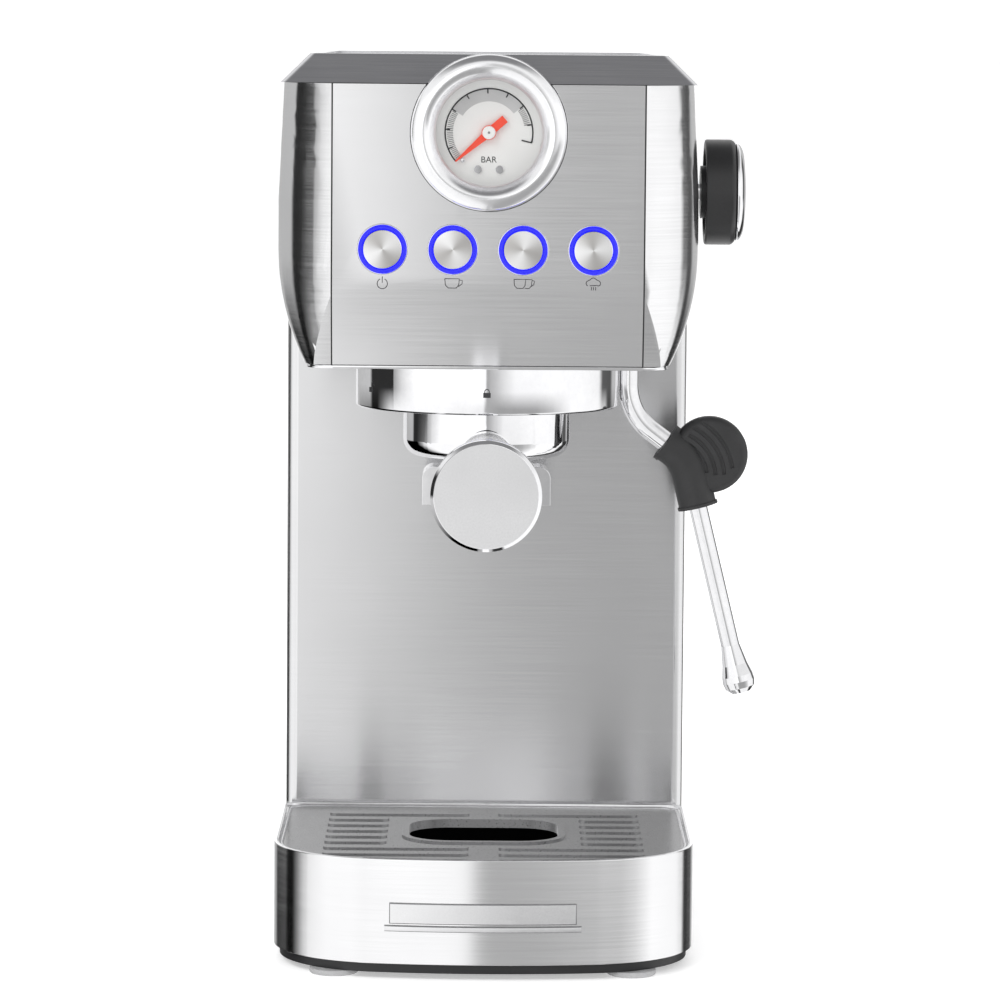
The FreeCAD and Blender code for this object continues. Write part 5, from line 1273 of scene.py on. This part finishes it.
@dataclass
class BrewGroup:
    """The brewing group under the head: chrome collar with lock signs, and the parts inside it."""

    axis_y: float = -79.0
    low: float = reach_of("group_collar", "z")[0]
    high: float = reach_of("group_collar", "z")[1]
    radius: float = 44.9
    bore: float = 43.4
    sign_z: float = 192.5

    def build(self) -> None:
        """Make and dress the group."""
        centre = (0.0, self.axis_y, 0.0)
        collar = lathe("group_collar_ring",
                       [(self.bore, self.low), (self.radius - 0.7, self.low),
                        (self.radius, self.low + 0.7), (self.radius, self.high),
                        (self.bore, self.high), (self.bore, self.low)],
                       centre, "Z", 160, ease=0.25)
        stand_in(collar, CHROME, "machine", "group_collar")
        self.make_lock("closed_lock_sign", 0.0, True)
        self.make_lock("open_lock_sign", -61.0, False)
        paint(CAST_ALUMINIUM, "group_head")
        paint(BLACK_RUBBER, "group_gasket")
        paint(POLISHED_STEEL, "shower_screen", "shower_screw")

    def make_lock(self, name: str, heading: float, closed: bool) -> None:
        """Print a small padlock on the collar.

        Args:
            name: the sign's name.
            heading: where it is round the collar, in degrees from the front towards +X.
            closed: whether the shackle is shut.
        """
        front = self.axis_y - self.radius
        box = [(-1.25, -0.95), (1.25, -0.95), (1.25, 0.75), (-1.25, 0.75)]
        body = slab(f"{name}_body", [(u, front - 0.02, self.sign_z + v) for u, v in box], (0, 0.25, 0))
        shift, leg = (0.0, 0.7) if closed else (1.3, 1.3)
        bow = [(shift - 0.75, 0.7)] + arc((shift, leg + 0.45), 0.75, 180, 0, 8) + [(shift + 0.75, leg)]
        shackle = tube(f"{name}_shackle", [(u, front, self.sign_z + v) for u, v in bow], 0.16, sides=1)
        lock = joined(name, [body, shackle])
        if heading:
            turned_about(lock, heading, "Z", (0.0, self.axis_y, 0.0))
        dress(lock, PRINT_INK, "machine", "black_plastic")


@dataclass
class Portafilter:
    """The portafilter: chrome bowl and spout, bright neck, long tapered handle and flat end."""

    axis_y: float = -79.0
    handle_z: float = level_of("handle_end_cap")
    neck: float = 9.4
    end_radius: float = 17.4
    start: float = -117.0
    end: float = -243.0
    cap_end: float = -246.6
    # Share of the handle's length against share of its growth from neck to end.
    swelling: tuple[Corner, ...] = ((0.0, 0.0), (0.2, 0.12), (0.45, 0.35), (0.7, 0.65), (0.94, 0.97),
                                    (1.0, 1.0))

    def build(self) -> None:
        """Make and dress the portafilter."""
        shell("portafilter_bowl", CHROME, "portafilter", 0.3)
        shell("portafilter_spout", CHROME, "portafilter", 0.5, 3)
        paint(POLISHED_STEEL, "filter_basket", "basket_clip")
        centre = (0.0, 0.0, self.handle_z)
        paint(CHROME, "handle_ferrule")
        swell = self.end_radius - self.neck
        length = self.end - self.start
        side = [(self.neck + swell * grow, self.start + length * share) for share, grow in self.swelling]
        handle = lathe("portafilter_handle_grip",
                       [(3.0, self.start), *side, (0.0, self.end)], centre, "Y", 128, ease=2.5)
        stand_in(handle, SATIN_ALUMINIUM, "portafilter", "portafilter_handle")
        cap = lathe("handle_end_disc",
                    [(0, self.cap_end), (self.end_radius - 1.15, self.cap_end),
                     (self.end_radius - 1.15, self.cap_end + 0.05), (0, self.cap_end + 0.6)],
                    centre, "Y", 128)
        ring = lathe("handle_end_ring",
                     [(self.end_radius - 1.3, self.cap_end + 0.1), (self.end_radius - 1.0, self.cap_end),
                      (self.end_radius - 0.05, self.cap_end + 1.1), (self.end_radius - 0.05, self.end),
                      (self.end_radius - 3.0, self.end), (self.end_radius - 1.3, self.cap_end + 0.1)],
                     centre, "Y", 128)
        stand_in(cap, SATIN_ALUMINIUM, "portafilter", "handle_end_cap")
        dress(ring, CHROME, "portafilter", "chrome")
        unmirrored(handle, cap, ring)


# ---------------------------------------------------------------- water side

@dataclass
class Water:
    """The rear tank with its lid, valve and dock."""

    def build(self) -> None:
        """Dress the tank, its lid, its valve and the dock under it."""
        shell("water_tank", SMOKED_TANK, "tank", 0.5)
        shell("tank_lid", BLACK_ABS, "lid", 0.5)
        paint(BLACK_RUBBER, "tank_valve")
        paint(BLACK_ABS, "tank_dock")


@dataclass
class Inside:
    """What the column and head hold."""

    def build(self) -> None:
        """Dress the pump, heater, valves, boards and hoses."""
        paint(PUMP_BLACK, "pump")
        paint(CAST_ALUMINIUM, "thermoblock")
        paint(BRASS, "brew_valve")
        paint(BOARD_GREEN, "main_board", "button_board")
        paint(CLEAR_SILICONE, "hoses")


def main() -> None:
    """Build the studio and every part of the machine in order."""
    for maker in (Studio(), Stand(), Tray(), Head(), Gauge(), Buttons(), SteamKnob(), Wand(),
                  BrewGroup(), Portafilter(), Water(), Inside()):
        log.info("-- %s", type(maker).__name__)
        maker.build()
    deselect()
    bpy.context.view_layer.update()


if __name__ == "__main__":
    main()
